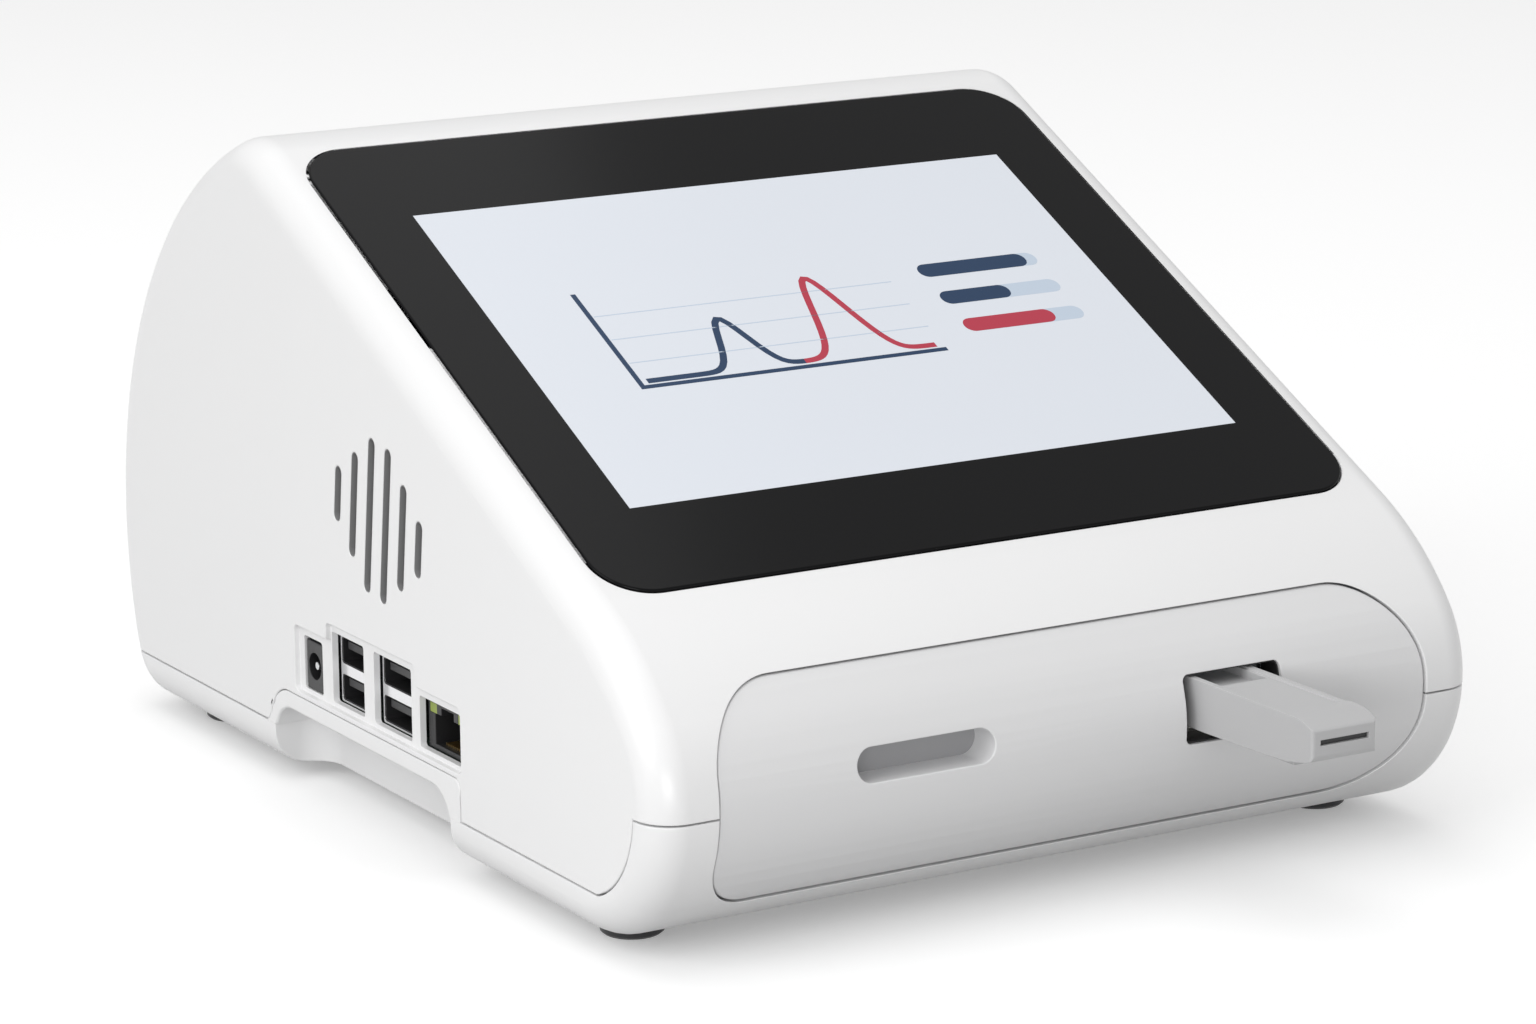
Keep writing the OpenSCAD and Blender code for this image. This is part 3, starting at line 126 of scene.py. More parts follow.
NOSE_Z = BOTTOM_Z + CHIN_R
SLOPE = radians(SLOPE_A)
RISE = radians(NOSE_RISE)
BROW_C = (NOSE_R + (BROW_R - NOSE_R) * cos(RISE), NOSE_Z - (BROW_R - NOSE_R) * sin(RISE))
SLOPE_P = (BROW_C[0] - BROW_R * sin(SLOPE), BROW_C[1] + BROW_R * cos(SLOPE))
SLOPE_L = GLASS_START + GLASS_L + GLASS_RIDGE
APEX_C = (SLOPE_P[0] + SLOPE_L * cos(SLOPE) + APEX_R * sin(SLOPE),
          SLOPE_P[1] + SLOPE_L * sin(SLOPE) - APEX_R * cos(SLOPE))
BODY_D = APEX_C[0] + BACK_REACH
BACK_DROP = APEX_C[1] - BACK_Z
BACK_R = (BACK_REACH ** 2 + BACK_DROP ** 2 - APEX_R ** 2) / (2 * (BACK_REACH - APEX_R))
BACK_C = (BODY_D - BACK_R, BACK_Z)
HEEL_C = (BACK_C[0] + sqrt((BACK_R - HEEL_R) ** 2 - (BOTTOM_Z + HEEL_R - BACK_Z) ** 2), BOTTOM_Z + HEEL_R)
APEX_A = degrees(atan2(APEX_C[1] - BACK_C[1], APEX_C[0] - BACK_C[0]))
HEEL_A = degrees(atan2(HEEL_C[1] - BACK_C[1], HEEL_C[0] - BACK_C[0]))


def at(x, y, z):
    """A point across, behind the nose and above the floor, in metres."""
    return Vector((x * MM, NOSE_Y + y * MM, z * MM))


def on_slope(u, v, w):
    """A point across, up the screen slope and out of it."""
    return at(u, SLOPE_P[0] + v * cos(SLOPE) - w * sin(SLOPE), SLOPE_P[1] + v * sin(SLOPE) + w * cos(SLOPE))


# Ways of working

def only(*chosen):
    """Selects these objects and nothing else."""
    if bpy.context.object and bpy.context.object.mode != "OBJECT":
        bpy.ops.object.mode_set(mode="OBJECT")
    bpy.ops.object.select_all(action="DESELECT")
    for one in chosen:
        one.select_set(True)
        bpy.context.view_layer.objects.active = one


def open_mesh(piece):
    only(piece)
    bpy.ops.object.mode_set(mode="EDIT")
    bpy.ops.mesh.select_mode(type="VERT")
    bpy.ops.mesh.select_all(action="DESELECT")
    return bmesh.from_edit_mesh(piece.data)


def close_mesh():
    bpy.ops.object.mode_set(mode="OBJECT")


def bevel_edges(piece, wanted, width, steps):
    """Rounds the edges for which wanted is true."""
    open_mesh(piece)
    bpy.ops.mesh.select_mode(type="EDGE")
    mesh = bmesh.from_edit_mesh(piece.data)
    for edge in mesh.edges:
        if wanted(edge):
            edge.select_set(True)
    bmesh.update_edit_mesh(piece.data)
    bpy.ops.mesh.bevel(offset=width * MM, segments=steps, profile=0.5, affect="EDGES", clamp_overlap=False)
    close_mesh()


def round_edges(piece, wanted, radius, steps):
    """Rounds the edges whose two ends are wanted."""
    bevel_edges(piece, lambda edge: wanted(edge.verts[0].co, edge.verts[1].co), radius, steps)


def apply_step(piece, kind, **settings):
    """Puts a modifier on a piece and applies it."""
    only(piece)
    step = piece.modifiers.new(kind, kind)
    for key, value in settings.items():
        setattr(step, key, value)
    bpy.ops.object.modifier_apply(modifier=step.name)


def cut(piece, cutter, how="DIFFERENCE"):
    """Cuts one solid with another, which is used up."""
    apply_step(piece, "BOOLEAN", object=cutter, operation=how, solver="EXACT")
    bpy.data.objects.remove(cutter, do_unlink=True)


def joined(name, pieces):
    only(*pieces)
    bpy.ops.object.join()
    whole = bpy.context.object
    whole.name = name
    return whole


SKIN_ARCS = [((CHIN_R, NOSE_Z), CHIN_R, -180, -90), ((NOSE_R, NOSE_Z), NOSE_R, 180 - NOSE_RISE, 180),
             (BROW_C, BROW_R, 90 + SLOPE_A, 180 - NOSE_RISE), (APEX_C, APEX_R, APEX_A, 90 + SLOPE_A),
             (BACK_C, BACK_R, HEEL_A, APEX_A), (HEEL_C, HEEL_R, -90, HEEL_A)]
SKIN_LINES = [(c, r, cos(radians(a0 + (a1 - a0) * i / 20)), sin(radians(a0 + (a1 - a0) * i / 20)))
              for c, r, a0, a1 in SKIN_ARCS for i in range(21)]


def skin_depth(co):
    """How far a point lies inside the body's outer skin, in mm."""
    x, y, z = co.x / MM, (co.y - NOSE_Y) / MM, co.z / MM
    side = HALF_W - abs(x)
    round_ = min(r - (y - c[0]) * ca - (z - c[1]) * sa for c, r, ca, sa in SKIN_LINES)
    if side < EDGE_R and round_ < EDGE_R:
        return EDGE_R - hypot(EDGE_R - side, EDGE_R - round_)
    return min(side, round_)


def clean(piece, merge=0.02):
    """Joins double points and takes out the edges inside flat faces."""
    open_mesh(piece)
    bpy.ops.mesh.select_all(action="SELECT")
    bpy.ops.mesh.remove_doubles(threshold=merge * MM)
    bpy.ops.mesh.dissolve_limited(angle_limit=radians(0.3))
    close_mesh()


def shade(piece, angle):
    """Smooth shading in which the flat faces stay flat."""
    only(piece)
    bpy.ops.object.shade_smooth_by_angle(angle=radians(angle))
    apply_step(piece, "WEIGHTED_NORMAL", keep_sharp=True)


def ease(piece, wanted, width, steps=2, angle=SHARP_A):
    """Rounds the sharp edges whose middle is wanted."""
    bevel_edges(piece, lambda edge: edge.calc_face_angle(0.0) > radians(angle)
                and wanted((edge.verts[0].co + edge.verts[1].co) / 2), width, steps)
    shade(piece, angle)


def soften(piece, width, steps=2, angle=SHARP_A, merge=0.02):
    """Cleans a piece and rounds all its sharp edges."""
    clean(piece, merge)
    if width > 0:
        apply_step(piece, "BEVEL", width=width * MM, segments=steps, limit_method="ANGLE",
                   angle_limit=radians(angle), use_clamp_overlap=False)
    shade(piece, angle)


def block(name, x, y, z, corners=None, along=2, steps=10, turn=0.0):
    """Box between pairs of sizes in mm, with rounded edges along one axis: corners is a list of
    (sign across, sign up, radius), where across and up are the two other axes in order."""
    centre = at((x[0] + x[1]) / 2, (y[0] + y[1]) / 2, (z[0] + z[1]) / 2)
    only()
    bpy.ops.mesh.primitive_cube_add(size=1, location=centre,
                                    scale=((x[1] - x[0]) * MM, (y[1] - y[0]) * MM, (z[1] - z[0]) * MM))
    piece = bpy.context.object
    piece.name = name
    bpy.ops.object.transform_apply(location=False, rotation=False, scale=True)
    cross = [i for i in range(3) if i != along]
    for across, up, radius in corners or []:
        round_edges(piece, lambda p, q: all(
            c[cross[0]] * across > 0.0 and c[cross[1]] * up > 0.0 for c in (p, q))
            and abs(p[along] - q[along]) > 1e-5, radius, steps)
    if turn:
        piece.rotation_euler = (turn, 0, 0)
    only(piece)
    bpy.ops.object.transform_apply()
    return piece


def all_corners(radius):
    return [(-1, -1, radius), (1, -1, radius), (1, 1, radius), (-1, 1, radius)]


def slope_slab(name, u, v, w, radius, steps=16):
    """Slab on the screen slope, with its four corners rounded."""
    only()
    bpy.ops.mesh.primitive_cube_add(
        size=1, location=on_slope((u[0] + u[1]) / 2, (v[0] + v[1]) / 2, (w[0] + w[1]) / 2),
        rotation=(SLOPE, 0, 0), scale=((u[1] - u[0]) * MM, (v[1] - v[0]) * MM, (w[1] - w[0]) * MM))
    piece = bpy.context.object
    piece.name = name
    bpy.ops.object.transform_apply(location=False, rotation=False, scale=True)
    if radius:
        round_edges(piece, lambda p, q: abs(p.z - q.z) > 1e-5, radius, steps)
    only(piece)
    bpy.ops.object.transform_apply()
    return piece


def rod(name, place, radius, length, axis, steps=32):
    """Round bar with its middle at place."""
    turn = {"X": (0, pi / 2, 0), "Y": (pi / 2, 0, 0), "Z": (0, 0, 0)}[axis]
    only()
    bpy.ops.mesh.primitive_cylinder_add(vertices=steps, radius=radius * MM, depth=length * MM, location=place,
                                        rotation=turn)
    piece = bpy.context.object
    piece.name = name
    bpy.ops.object.transform_apply()
    return piece


# Outlines drawn point by point in the side view

def start_point(name, place):
    """A piece of one selected point, left open to be drawn on."""
    only()
    bpy.ops.mesh.primitive_plane_add(size=MM, location=place)
    piece = bpy.context.object
    piece.name = name
    bpy.ops.object.transform_apply()
    bpy.ops.object.mode_set(mode="EDIT")
    bpy.ops.mesh.select_mode(type="VERT")
    bpy.ops.mesh.select_all(action="SELECT")
    bpy.ops.mesh.merge(type="CENTER")
    return piece


def line_to(piece, y, z):
    """Draws the outline on in a straight line."""
    tip = next(v for v in bmesh.from_edit_mesh(piece.data).verts if v.select)
    move = at(tip.co.x / MM, y, z) - tip.co
    bpy.ops.mesh.extrude_region_move(TRANSFORM_OT_translate={"value": move})


def arc_by(piece, centre, angle, steps):
    """Draws the outline on round a centre in the side view, by an angle in degrees from +Y towards +Z."""
    bpy.ops.mesh.spin(steps=steps, angle=radians(-angle), center=at(0, centre[0], centre[1]), axis=(1, 0, 0))


def close_outline(piece, width):
    """Fills the outline and draws it out across the body."""
    bpy.ops.mesh.select_all(action="SELECT")
    bpy.ops.mesh.remove_doubles(threshold=0.01 * MM)
    bpy.ops.mesh.select_all(action="SELECT")
    bpy.ops.mesh.edge_face_add()
    bpy.ops.mesh.extrude_region_move(TRANSFORM_OT_translate={"value": (width * MM, 0, 0)})
    bpy.ops.mesh.select_all(action="SELECT")
    bpy.ops.mesh.normals_make_consistent(inside=False)
    close_mesh()


def body_solid(name, inset):
    """The whole body as one solid, moved in by inset, with its side edges rounded.
    The arcs are divided so that no division falls on an edge of the seam, the panel or an opening."""
    piece = start_point(name, at(-HALF_W + inset, CHIN_R, BOTTOM_Z + inset))
    arc_by(piece, (CHIN_R, NOSE_Z), -40, 14)
    arc_by(piece, (CHIN_R, NOSE_Z), -6, 1)
    arc_by(piece, (CHIN_R, NOSE_Z), -44, 18)
    arc_by(piece, (NOSE_R, NOSE_Z), -NOSE_RISE, 16)
    arc_by(piece, BROW_C, -(90 - NOSE_RISE - SLOPE_A), 9)
    line_to(piece, APEX_C[0] - (APEX_R - inset) * sin(SLOPE), APEX_C[1] + (APEX_R - inset) * cos(SLOPE))
    arc_by(piece, APEX_C, APEX_A - 90 - SLOPE_A, 16)
    arc_by(piece, BACK_C, -15.8 - APEX_A, 41)
    heel = radians(28)
    line_to(piece, HEEL_C[0] + (HEEL_R - inset) * cos(heel), HEEL_C[1] - (HEEL_R - inset) * sin(heel))
    arc_by(piece, HEEL_C, -62, 13)
    line_to(piece, CHIN_R, BOTTOM_Z + inset)
    close_outline(piece, 2 * (HALF_W - inset))
    side = (HALF_W - inset) * MM
    round_edges(piece, lambda p, q: abs(abs(p.x) - side) < 1e-6 and abs(p.x - q.x) < 1e-6, EDGE_R - inset, 9)
    return piece


def split_cutter(name, raise_by):
    """Everything above the seam, which falls in a curve from the front to the sides."""
    r = SPLIT_R - raise_by
    z0 = SPLIT_FRONT_Z + raise_by
    z1 = SPLIT_Z + raise_by
    a0 = asin((NOSE_Z - z0) / r)
    a1 = asin((NOSE_Z - z1) / r)
    piece = start_point(name, at(-HALF_W - PAST, -PAST, z0))
    line_to(piece, CHIN_R - r * cos(a0), z0)
    arc_by(piece, (CHIN_R, NOSE_Z), degrees(a1 - a0), 26)
    line_to(piece, BODY_D + PAST, z1)
    line_to(piece, BODY_D + PAST, BODY_D)
    line_to(piece, -PAST, BODY_D)
    line_to(piece, -PAST, z0)
    close_outline(piece, 2 * (HALF_W + PAST))
    return piece


def nose_solid(name, inset):
    """The front of the body as a solid, moved in by inset, with divisions clear of the openings."""
    start_a = degrees(asin((CHIN_R - PANEL_REACH - 4) / (CHIN_R - inset)))
    low = NOSE_Z - (CHIN_R - inset) * cos(radians(start_a))
    piece = start_point(name, at(-HALF_W, PANEL_REACH + 4, low))
    arc_by(piece, (CHIN_R, NOSE_Z), 50 + start_a - 90, 4)
    for angle, steps in ((-8.32, 1), (-31.18, 5), (-7, 1)):
        arc_by(piece, (CHIN_R, NOSE_Z), angle, steps)
    first = radians(2.5)
    line_to(piece, NOSE_R - (NOSE_R - inset) * cos(first), NOSE_Z + (NOSE_R - inset) * sin(first))
    for angle, steps in ((-9.5, 2), (-7, 1), (-7.5, 1), (26.5 - NOSE_RISE, 2)):
        arc_by(piece, (NOSE_R, NOSE_Z), angle, steps)
    arc_by(piece, BROW_C, -4, 1)
    arc_by(piece, BROW_C, -4.6, 1)
    arc_by(piece, BROW_C, -7.4, 2)
    tip = next(v for v in bmesh.from_edit_mesh(piece.data).verts if v.select).co
    line_to(piece, PANEL_REACH + 4, tip.z / MM)
    line_to(piece, PANEL_REACH + 4, low)
    close_outline(piece, 2 * HALF_W)
    return piece


def panel_prism(name, grow, y0, y1):
    """The front panel's outline seen from the front, as a bar."""
    corners = [(-1, -1, 11 + grow), (1, -1, 21 + grow), (1, 1, 21 + grow), (-1, 1, 18 + grow)]
    return block(name, (PANEL_X0 - grow, PANEL_X1 + grow), (y0, y1), (PANEL_Z0 - grow, PANEL_Z1 + grow),
                 corners, along=1, steps=20)


def slot_prism(name, sides, grow, radius, y0, y1):
    """An opening of the front panel, as a bar."""
    return block(name, (sides[0] - grow, sides[1] + grow), (y0, y1), (sides[2] - grow, sides[3] + grow),
                 all_corners(radius + grow), along=1, steps=12)


# Left wall: each port is its middle behind the nose, its width and its height
PORT_X = -HALF_W + WALL + 0.3
POCKET_D = 1.4
POCKET_Z = 25.2
BOARD_TOP = 26.3
PORT_GAP = 0.7
POCKET_RIM = 2.2
POCKET_END = 2.5
USB_H = 15.9
USB_SHEET = 0.5
USB_BAR = 2.6
USB_DEPTH = 9.9
DC = (163.7, 8.2, 11.8)
USB_REAR = (145.4, 15.0, USB_H)
USB_FRONT = (122.6, 17.4, USB_H)
NET = (99.3, 18.4, 11.0)
RECESS_Y = (92.6, 183.0)
RECESS_TOP = 19.7
RECESS_X = -HALF_W + 13.5
RECESS_R = 9.0
RECESS_CORNER = 8.0
RECESS_WALL = 2.5
ARCH_Y = (87.6, 184.6)
ARCH_Z = 23.7
ARCH_FOOT = 4.0
ARCH_CORNER = 2.5
ARCH_GAP = 0.25
VENT_C = (125.4, 74.7)
VENT_LEAN = radians(7)
VENT_N = 6
VENT_PITCH = 8.1
VENT_L = 36.2
VENT_FALL = 11.7
VENT_R = 1.5
VENT_HOLE_R = 1.66
# Outer half width of the painted shade on the walls of the sound slots
VENT_SHADE_R = 1.64

# Back wall, underside and tray
SWITCH = (-62.0, 50.0, 12.6, 18.6)
SWITCH_RIM = 1.5
BOSS_X = HALF_W - 14.5
BOSS_Y = (62.0, BODY_D - 62.0)
WELL_R = 3.3
WELL_H = 6.8
TRAY_X = 38.0
TIP_Y = (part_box("card_tray")[0].y - NOSE_Y) / MM
SLIT_W = 12.7
SLIT_D = 6.0
SLIT_H = 1.2
SLIT_Z = 41.7

# Dark liners that paint shade inside the tray window and the socket mouths
SHADE_LINER_GAP = 0.03
WINDOW_SHADE_T = 0.37
USB_SHADE_T = 0.15

# Rounding of the edges
UPPER_ROUND = 0.32
LOWER_ROUND = 0.3
PANEL_ROUND = 0.34
POCKET_ROUND = 0.12
GLASS_ROUND = 0.5
ARCH_MOUTH_ROUND = 0.6
ARCH_RIM_ROUND = 0.25


def port_opening(port):
    """The hole in the left wall that a port's face stands in."""
    y, w, h = port
    return block("opening", (-HALF_W - PAST, PORT_X + 1.7), (y - w / 2 - PORT_GAP, y + w / 2 + PORT_GAP),
                 (BOARD_TOP - 0.1, BOARD_TOP + h + PORT_GAP), all_corners(0.8), along=0, steps=4)


def pocket_block(y0, y1, top, corners):
    return block("pocket", (-HALF_W - PAST, -HALF_W + POCKET_D), (y0, y1), (POCKET_Z, top), corners,
                 along=0, steps=5)


def vent_slots(side, x0, x1):
    """The sound slots as solids of half width side."""
    slots = []
    for i in range(VENT_N):
        shift = i - (VENT_N - 1) / 2
        length = VENT_L - VENT_FALL * max(0, abs(shift) - 0.5)
        y = VENT_C[0] + VENT_PITCH * shift * cos(VENT_LEAN)
        z = VENT_C[1] + VENT_PITCH * shift * sin(VENT_LEAN)
        rest = length / 2 - VENT_R + side
        slots.append(block("slot", (x0, x1), (y - side, y + side), (z - rest, z + rest),
                           all_corners(side - 0.01), along=0, steps=7, turn=VENT_LEAN))
    return joined("slots", slots)


def make_vent_shade_liner():
    """Grey walls inside the sound slots: painted shade that darkens the slot sides."""
    liner = vent_slots(VENT_SHADE_R, -HALF_W + 0.14, -HALF_W + WALL - 0.05)
    cut(liner, vent_slots(VENT_R, -HALF_W - PAST, -HALF_W + WALL + PAST))
    liner.name = "vent_shade_liner"
    soften(liner, 0)
    return liner


def make_slit_shade():
    """Dark strip inside the slit of the tray's tip: painted shade where the deep slit falls dark."""
    side = SLIT_W / 2 - 0.1
    lining = block("slit_painted_shade", (TRAY_X - side, TRAY_X + side), (TIP_Y + 0.7, TIP_Y + SLIT_D - 0.1),
                   (SLIT_Z + 0.06, SLIT_Z + SLIT_H - 0.06))
    soften(lining, 0.05, 1)
    return lining


def make_window_shade():
    """Dark rim inside the tray window, just behind the face: painted shade on the window's walls."""
    liner = slot_prism("window_shade_liner", WINDOW, -SHADE_LINER_GAP, WINDOW_R, 0.5, SLEEVE_L - 0.2)
    cut(liner, nose_solid("liner_front", PANEL_SINK + 0.9), "INTERSECT")
    cut(liner, slot_prism("opening", WINDOW, -SHADE_LINER_GAP - WINDOW_SHADE_T, WINDOW_R, -PAST, PANEL_REACH))
    soften(liner, 0)
    return liner


def make_usb_shade_liner(name, port):
    """Dark walls inside the two mouths of a stacked socket: painted shade inside the metal can."""
    y, w, h = port
    mouth = (h - 2 * USB_SHEET - USB_BAR) / 2
    side = w / 2 - USB_SHEET
    inner = SHADE_LINER_GAP + USB_SHADE_T
    walls = []
    for z in (BOARD_TOP + USB_SHEET, BOARD_TOP + h - USB_SHEET - mouth):
        wall = block("wall", (PORT_X + 0.3, PORT_X + USB_DEPTH), (y - side + SHADE_LINER_GAP, y + side - SHADE_LINER_GAP),
                     (z + SHADE_LINER_GAP, z + mouth - SHADE_LINER_GAP), all_corners(0.95), along=0, steps=5)
        cut(wall, block("room", (PORT_X - 1, PORT_X + USB_DEPTH - 0.2), (y - side + inner, y + side - inner),
                        (z + inner, z + mouth - inner), all_corners(0.8), along=0, steps=5))
        walls.append(wall)
    liner = joined(name, walls)
    soften(liner, 0)
    return liner


def bring_forward(piece, behind, move):
    """Moves the front of a piece out by move, in mm."""
    mesh = open_mesh(piece)
    for vert in mesh.verts:
        vert.select_set(vert.co.x / MM < behind)
    mesh.select_flush(True)
    bmesh.update_edit_mesh(piece.data)
    bpy.ops.transform.translate(value=(-move * MM, 0, 0))
    close_mesh()
    return piece


def recess_cutter(name, grow, top):
    """The cable recess, grown by its wall where grow says so."""
    return block(name, (-HALF_W - 2 * PAST, RECESS_X + grow), (RECESS_Y[0] - grow, RECESS_Y[1] + grow),
                 (-PAST, top), [(1, -1, RECESS_CORNER), (1, 1, RECESS_CORNER)], along=2, steps=12)


def cut_screen_seat(shell):
    seat_x = GLASS_W / 2 + SEAT_GAP
    seat_v = (GLASS_START - SEAT_GAP, GLASS_START + GLASS_L + SEAT_GAP)
    cut(shell, slope_slab("seat", (-seat_x, seat_x), seat_v, (-SEAT_D, PAST), GLASS_CORNER + SEAT_GAP))
    view_x = LCD_W / 2 + VIEW_RIM
    view_v = (GLASS_START + LCD_LOW - VIEW_RIM, GLASS_START + LCD_LOW + LCD_L + VIEW_RIM)
    cut(shell, slope_slab("view", (-view_x, view_x), view_v, (-PAST, PAST), 0))


def cut_port_pocket(shell):
    """The pocket round the ports, which is taller round the USB sockets, and the port openings."""
    step_front = USB_FRONT[0] - USB_FRONT[1] / 2 - PORT_GAP - 4.6
    step_rear = USB_REAR[0] + USB_REAR[1] / 2 + PORT_GAP + 0.4
    net_end = NET[0] - NET[1] / 2 - PORT_GAP - POCKET_END
    dc_end = DC[0] + DC[1] / 2 + PORT_GAP + POCKET_END
    rim = PORT_GAP + POCKET_RIM
    cut(shell, pocket_block(net_end, step_front + 3, BOARD_TOP + NET[2] + rim, [(-1, -1, 1.5), (-1, 1, 1.5)]))
    cut(shell, pocket_block(step_rear - 3, dc_end, BOARD_TOP + DC[2] + rim, [(1, -1, 1.5), (1, 1, 1.5)]))
    cut(shell, pocket_block(step_front, step_rear, BOARD_TOP + USB_H + rim, [(-1, 1, 1.5), (1, 1, 1.5)]))
    cut(shell, joined("ports", [port_opening(port) for port in (DC, USB_REAR, USB_FRONT, NET)]))


def cut_arch_hole(shell):
    """The hole for the recess moulding, whose rear foot sweeps out in a quarter circle."""
    across = (-HALF_W - PAST, -HALF_W + WALL + 2)
    corners = [(-1, 1, ARCH_CORNER + ARCH_GAP), (1, 1, RECESS_R + ARCH_GAP)]
    cut(shell, block("arch_hole", across, (ARCH_Y[0] - ARCH_GAP, ARCH_Y[1] + ARCH_GAP),
                     (SPLIT_Z - 2, ARCH_Z + ARCH_GAP), corners, along=0, steps=12))
    foot_y = ARCH_Y[1] + ARCH_GAP + ARCH_FOOT
    foot = block("arch_foot", across, (ARCH_Y[1], foot_y), (SPLIT_Z - 2, SPLIT_Z + ARCH_FOOT), None, along=0)
    cut(foot, rod("arch_curve", at(-HALF_W, foot_y, SPLIT_Z + ARCH_FOOT), ARCH_FOOT, 4 * PAST, "X", 72))
    cut(shell, foot)


def switch_opening():
    x, z, w, h = SWITCH
    side, rise = w / 2 + SWITCH_RIM, h / 2 + SWITCH_RIM
    return block("switch_hole", (x - side, x + side), (BODY_D - PAST, BODY_D + PAST), (z - rise, z + rise),
                 all_corners(2.5), along=1, steps=6)


def make_upper_shell():
    shell = body_solid("upper_shell", 0)
    cut(shell, body_solid("inside", WALL))
    cut(shell, split_cutter("above", SEAM), "INTERSECT")
    cut_screen_seat(shell)
    cut(shell, panel_prism("panel_hole", PANEL_GAP, -PAST, PANEL_REACH))
    cut_port_pocket(shell)
    cut(shell, vent_slots(VENT_HOLE_R, -HALF_W - PAST, -HALF_W + WALL + 1))
    cut_arch_hole(shell)
    cut(shell, switch_opening())
    clean(shell)
    ease(shell, lambda co: skin_depth(co) < 0.2, UPPER_ROUND, 3)
    ease(shell, lambda co: abs(co.x / MM + HALF_W - POCKET_D) < 0.01, POCKET_ROUND)
    return shell


def make_lower_shell():
    shell = body_solid("lower_shell", 0)
    room = body_solid("room", WALL)
    cut(room, recess_cutter("recess_wall", RECESS_WALL, SPLIT_Z))
    cut(shell, room)
    cut(shell, split_cutter("above", 0))
    cut(shell, recess_cutter("recess", 0, SPLIT_Z + 1))
    cut(shell, panel_prism("panel_hole", PANEL_GAP, -PAST, PANEL_REACH))
    wells = [rod("well", at(s * BOSS_X, y, BOTTOM_Z), WELL_R, WELL_H, "Z") for s in (-1, 1) for y in BOSS_Y]
    cut(shell, joined("wells", wells))
    clean(shell)
    ease(shell, lambda co: skin_depth(co) < 0.2, LOWER_ROUND, 3)
    return shell


def make_front_face():
    face = nose_solid("front_face", PANEL_SINK)
    cut(face, nose_solid("back", PANEL_SINK + PANEL_T))
    cut(face, panel_prism("outline", 0, -PAST, PANEL_REACH), "INTERSECT")
    for sides, radius in ((CHIP, CHIP_R), (WINDOW, WINDOW_R)):
        sleeve = slot_prism("sleeve", sides, SLEEVE_T, radius, 0.5, SLEEVE_L)
        cut(sleeve, nose_solid("sleeve_front", PANEL_SINK + 0.8), "INTERSECT")
        cut(face, sleeve, "UNION")
    for sides, radius in ((CHIP, CHIP_R), (WINDOW, WINDOW_R)):
        cut(face, slot_prism("opening", sides, 0, radius, -PAST, PANEL_REACH))
    clean(face)
    ease(face, lambda co: abs(skin_depth(co) - PANEL_SINK) < 0.2, PANEL_ROUND, 3)
    return face


def make_glass():
    glass = slope_slab("screen_glass", (-GLASS_W / 2, GLASS_W / 2), (GLASS_START, GLASS_START + GLASS_L),
                       (GLASS_PROUD - GLASS_T, GLASS_PROUD), GLASS_CORNER)
    soften(glass, GLASS_ROUND, 3)
    return glass


SCREEN_W0 = GLASS_PROUD - 0.1
SCREEN_TOP = GLASS_PROUD + 0.03


def make_screen():
    v0 = GLASS_START + LCD_LOW
    screen = slope_slab("screen_area", (-LCD_W / 2, LCD_W / 2), (v0, v0 + LCD_L), (SCREEN_W0, SCREEN_TOP), 0)
    soften(screen, 0)
    return screen


def ribbon(name, points, width):
    """Flat line drawn on the screen through points (across, up the slope)."""
    piece = start_point(name, on_slope(*points[0], SCREEN_TOP - 0.02))
    for a, b in zip(points, points[1:]):
        bpy.ops.mesh.extrude_region_move(TRANSFORM_OT_translate={"value": on_slope(*b, 0) - on_slope(*a, 0)})
    bpy.ops.mesh.select_all(action="SELECT")
    rise = on_slope(0, 0, 0.05) - on_slope(0, 0, 0)
    bpy.ops.mesh.extrude_region_move(TRANSFORM_OT_translate={"value": rise})
    close_mesh()
    apply_step(piece, "SOLIDIFY", thickness=width * MM, offset=0, use_even_offset=True)
    open_mesh(piece)
    bpy.ops.mesh.select_all(action="SELECT")
    bpy.ops.mesh.normals_make_consistent(inside=False)
    close_mesh()
    return piece


def peak_height(u):
    return 19 * exp(-((u + 26) / 5.0) ** 2) + 30 * exp(-((u - 3) / 6.0) ** 2)


def curve(first, last, base, steps=40):
    """The measured curve from first to last across the screen."""
    places = [first + (last - first) * i / steps for i in range(steps + 1)]
    return [(u, base + 2 + peak_height(u)) for u in places]


def tile(name, u, v, radius):
    piece = slope_slab(name, u, v, (SCREEN_TOP - 0.02, SCREEN_TOP + 0.03), radius, 8)
    soften(piece, 0)
    return piece


PLOT_X = (-56, 24)
PLOT_H = 36
CURVE_TURN = -13
BAR_X = (33, 66)
BAR_H = 5
BAR_R = 2.4
BAR_PITCH = 11


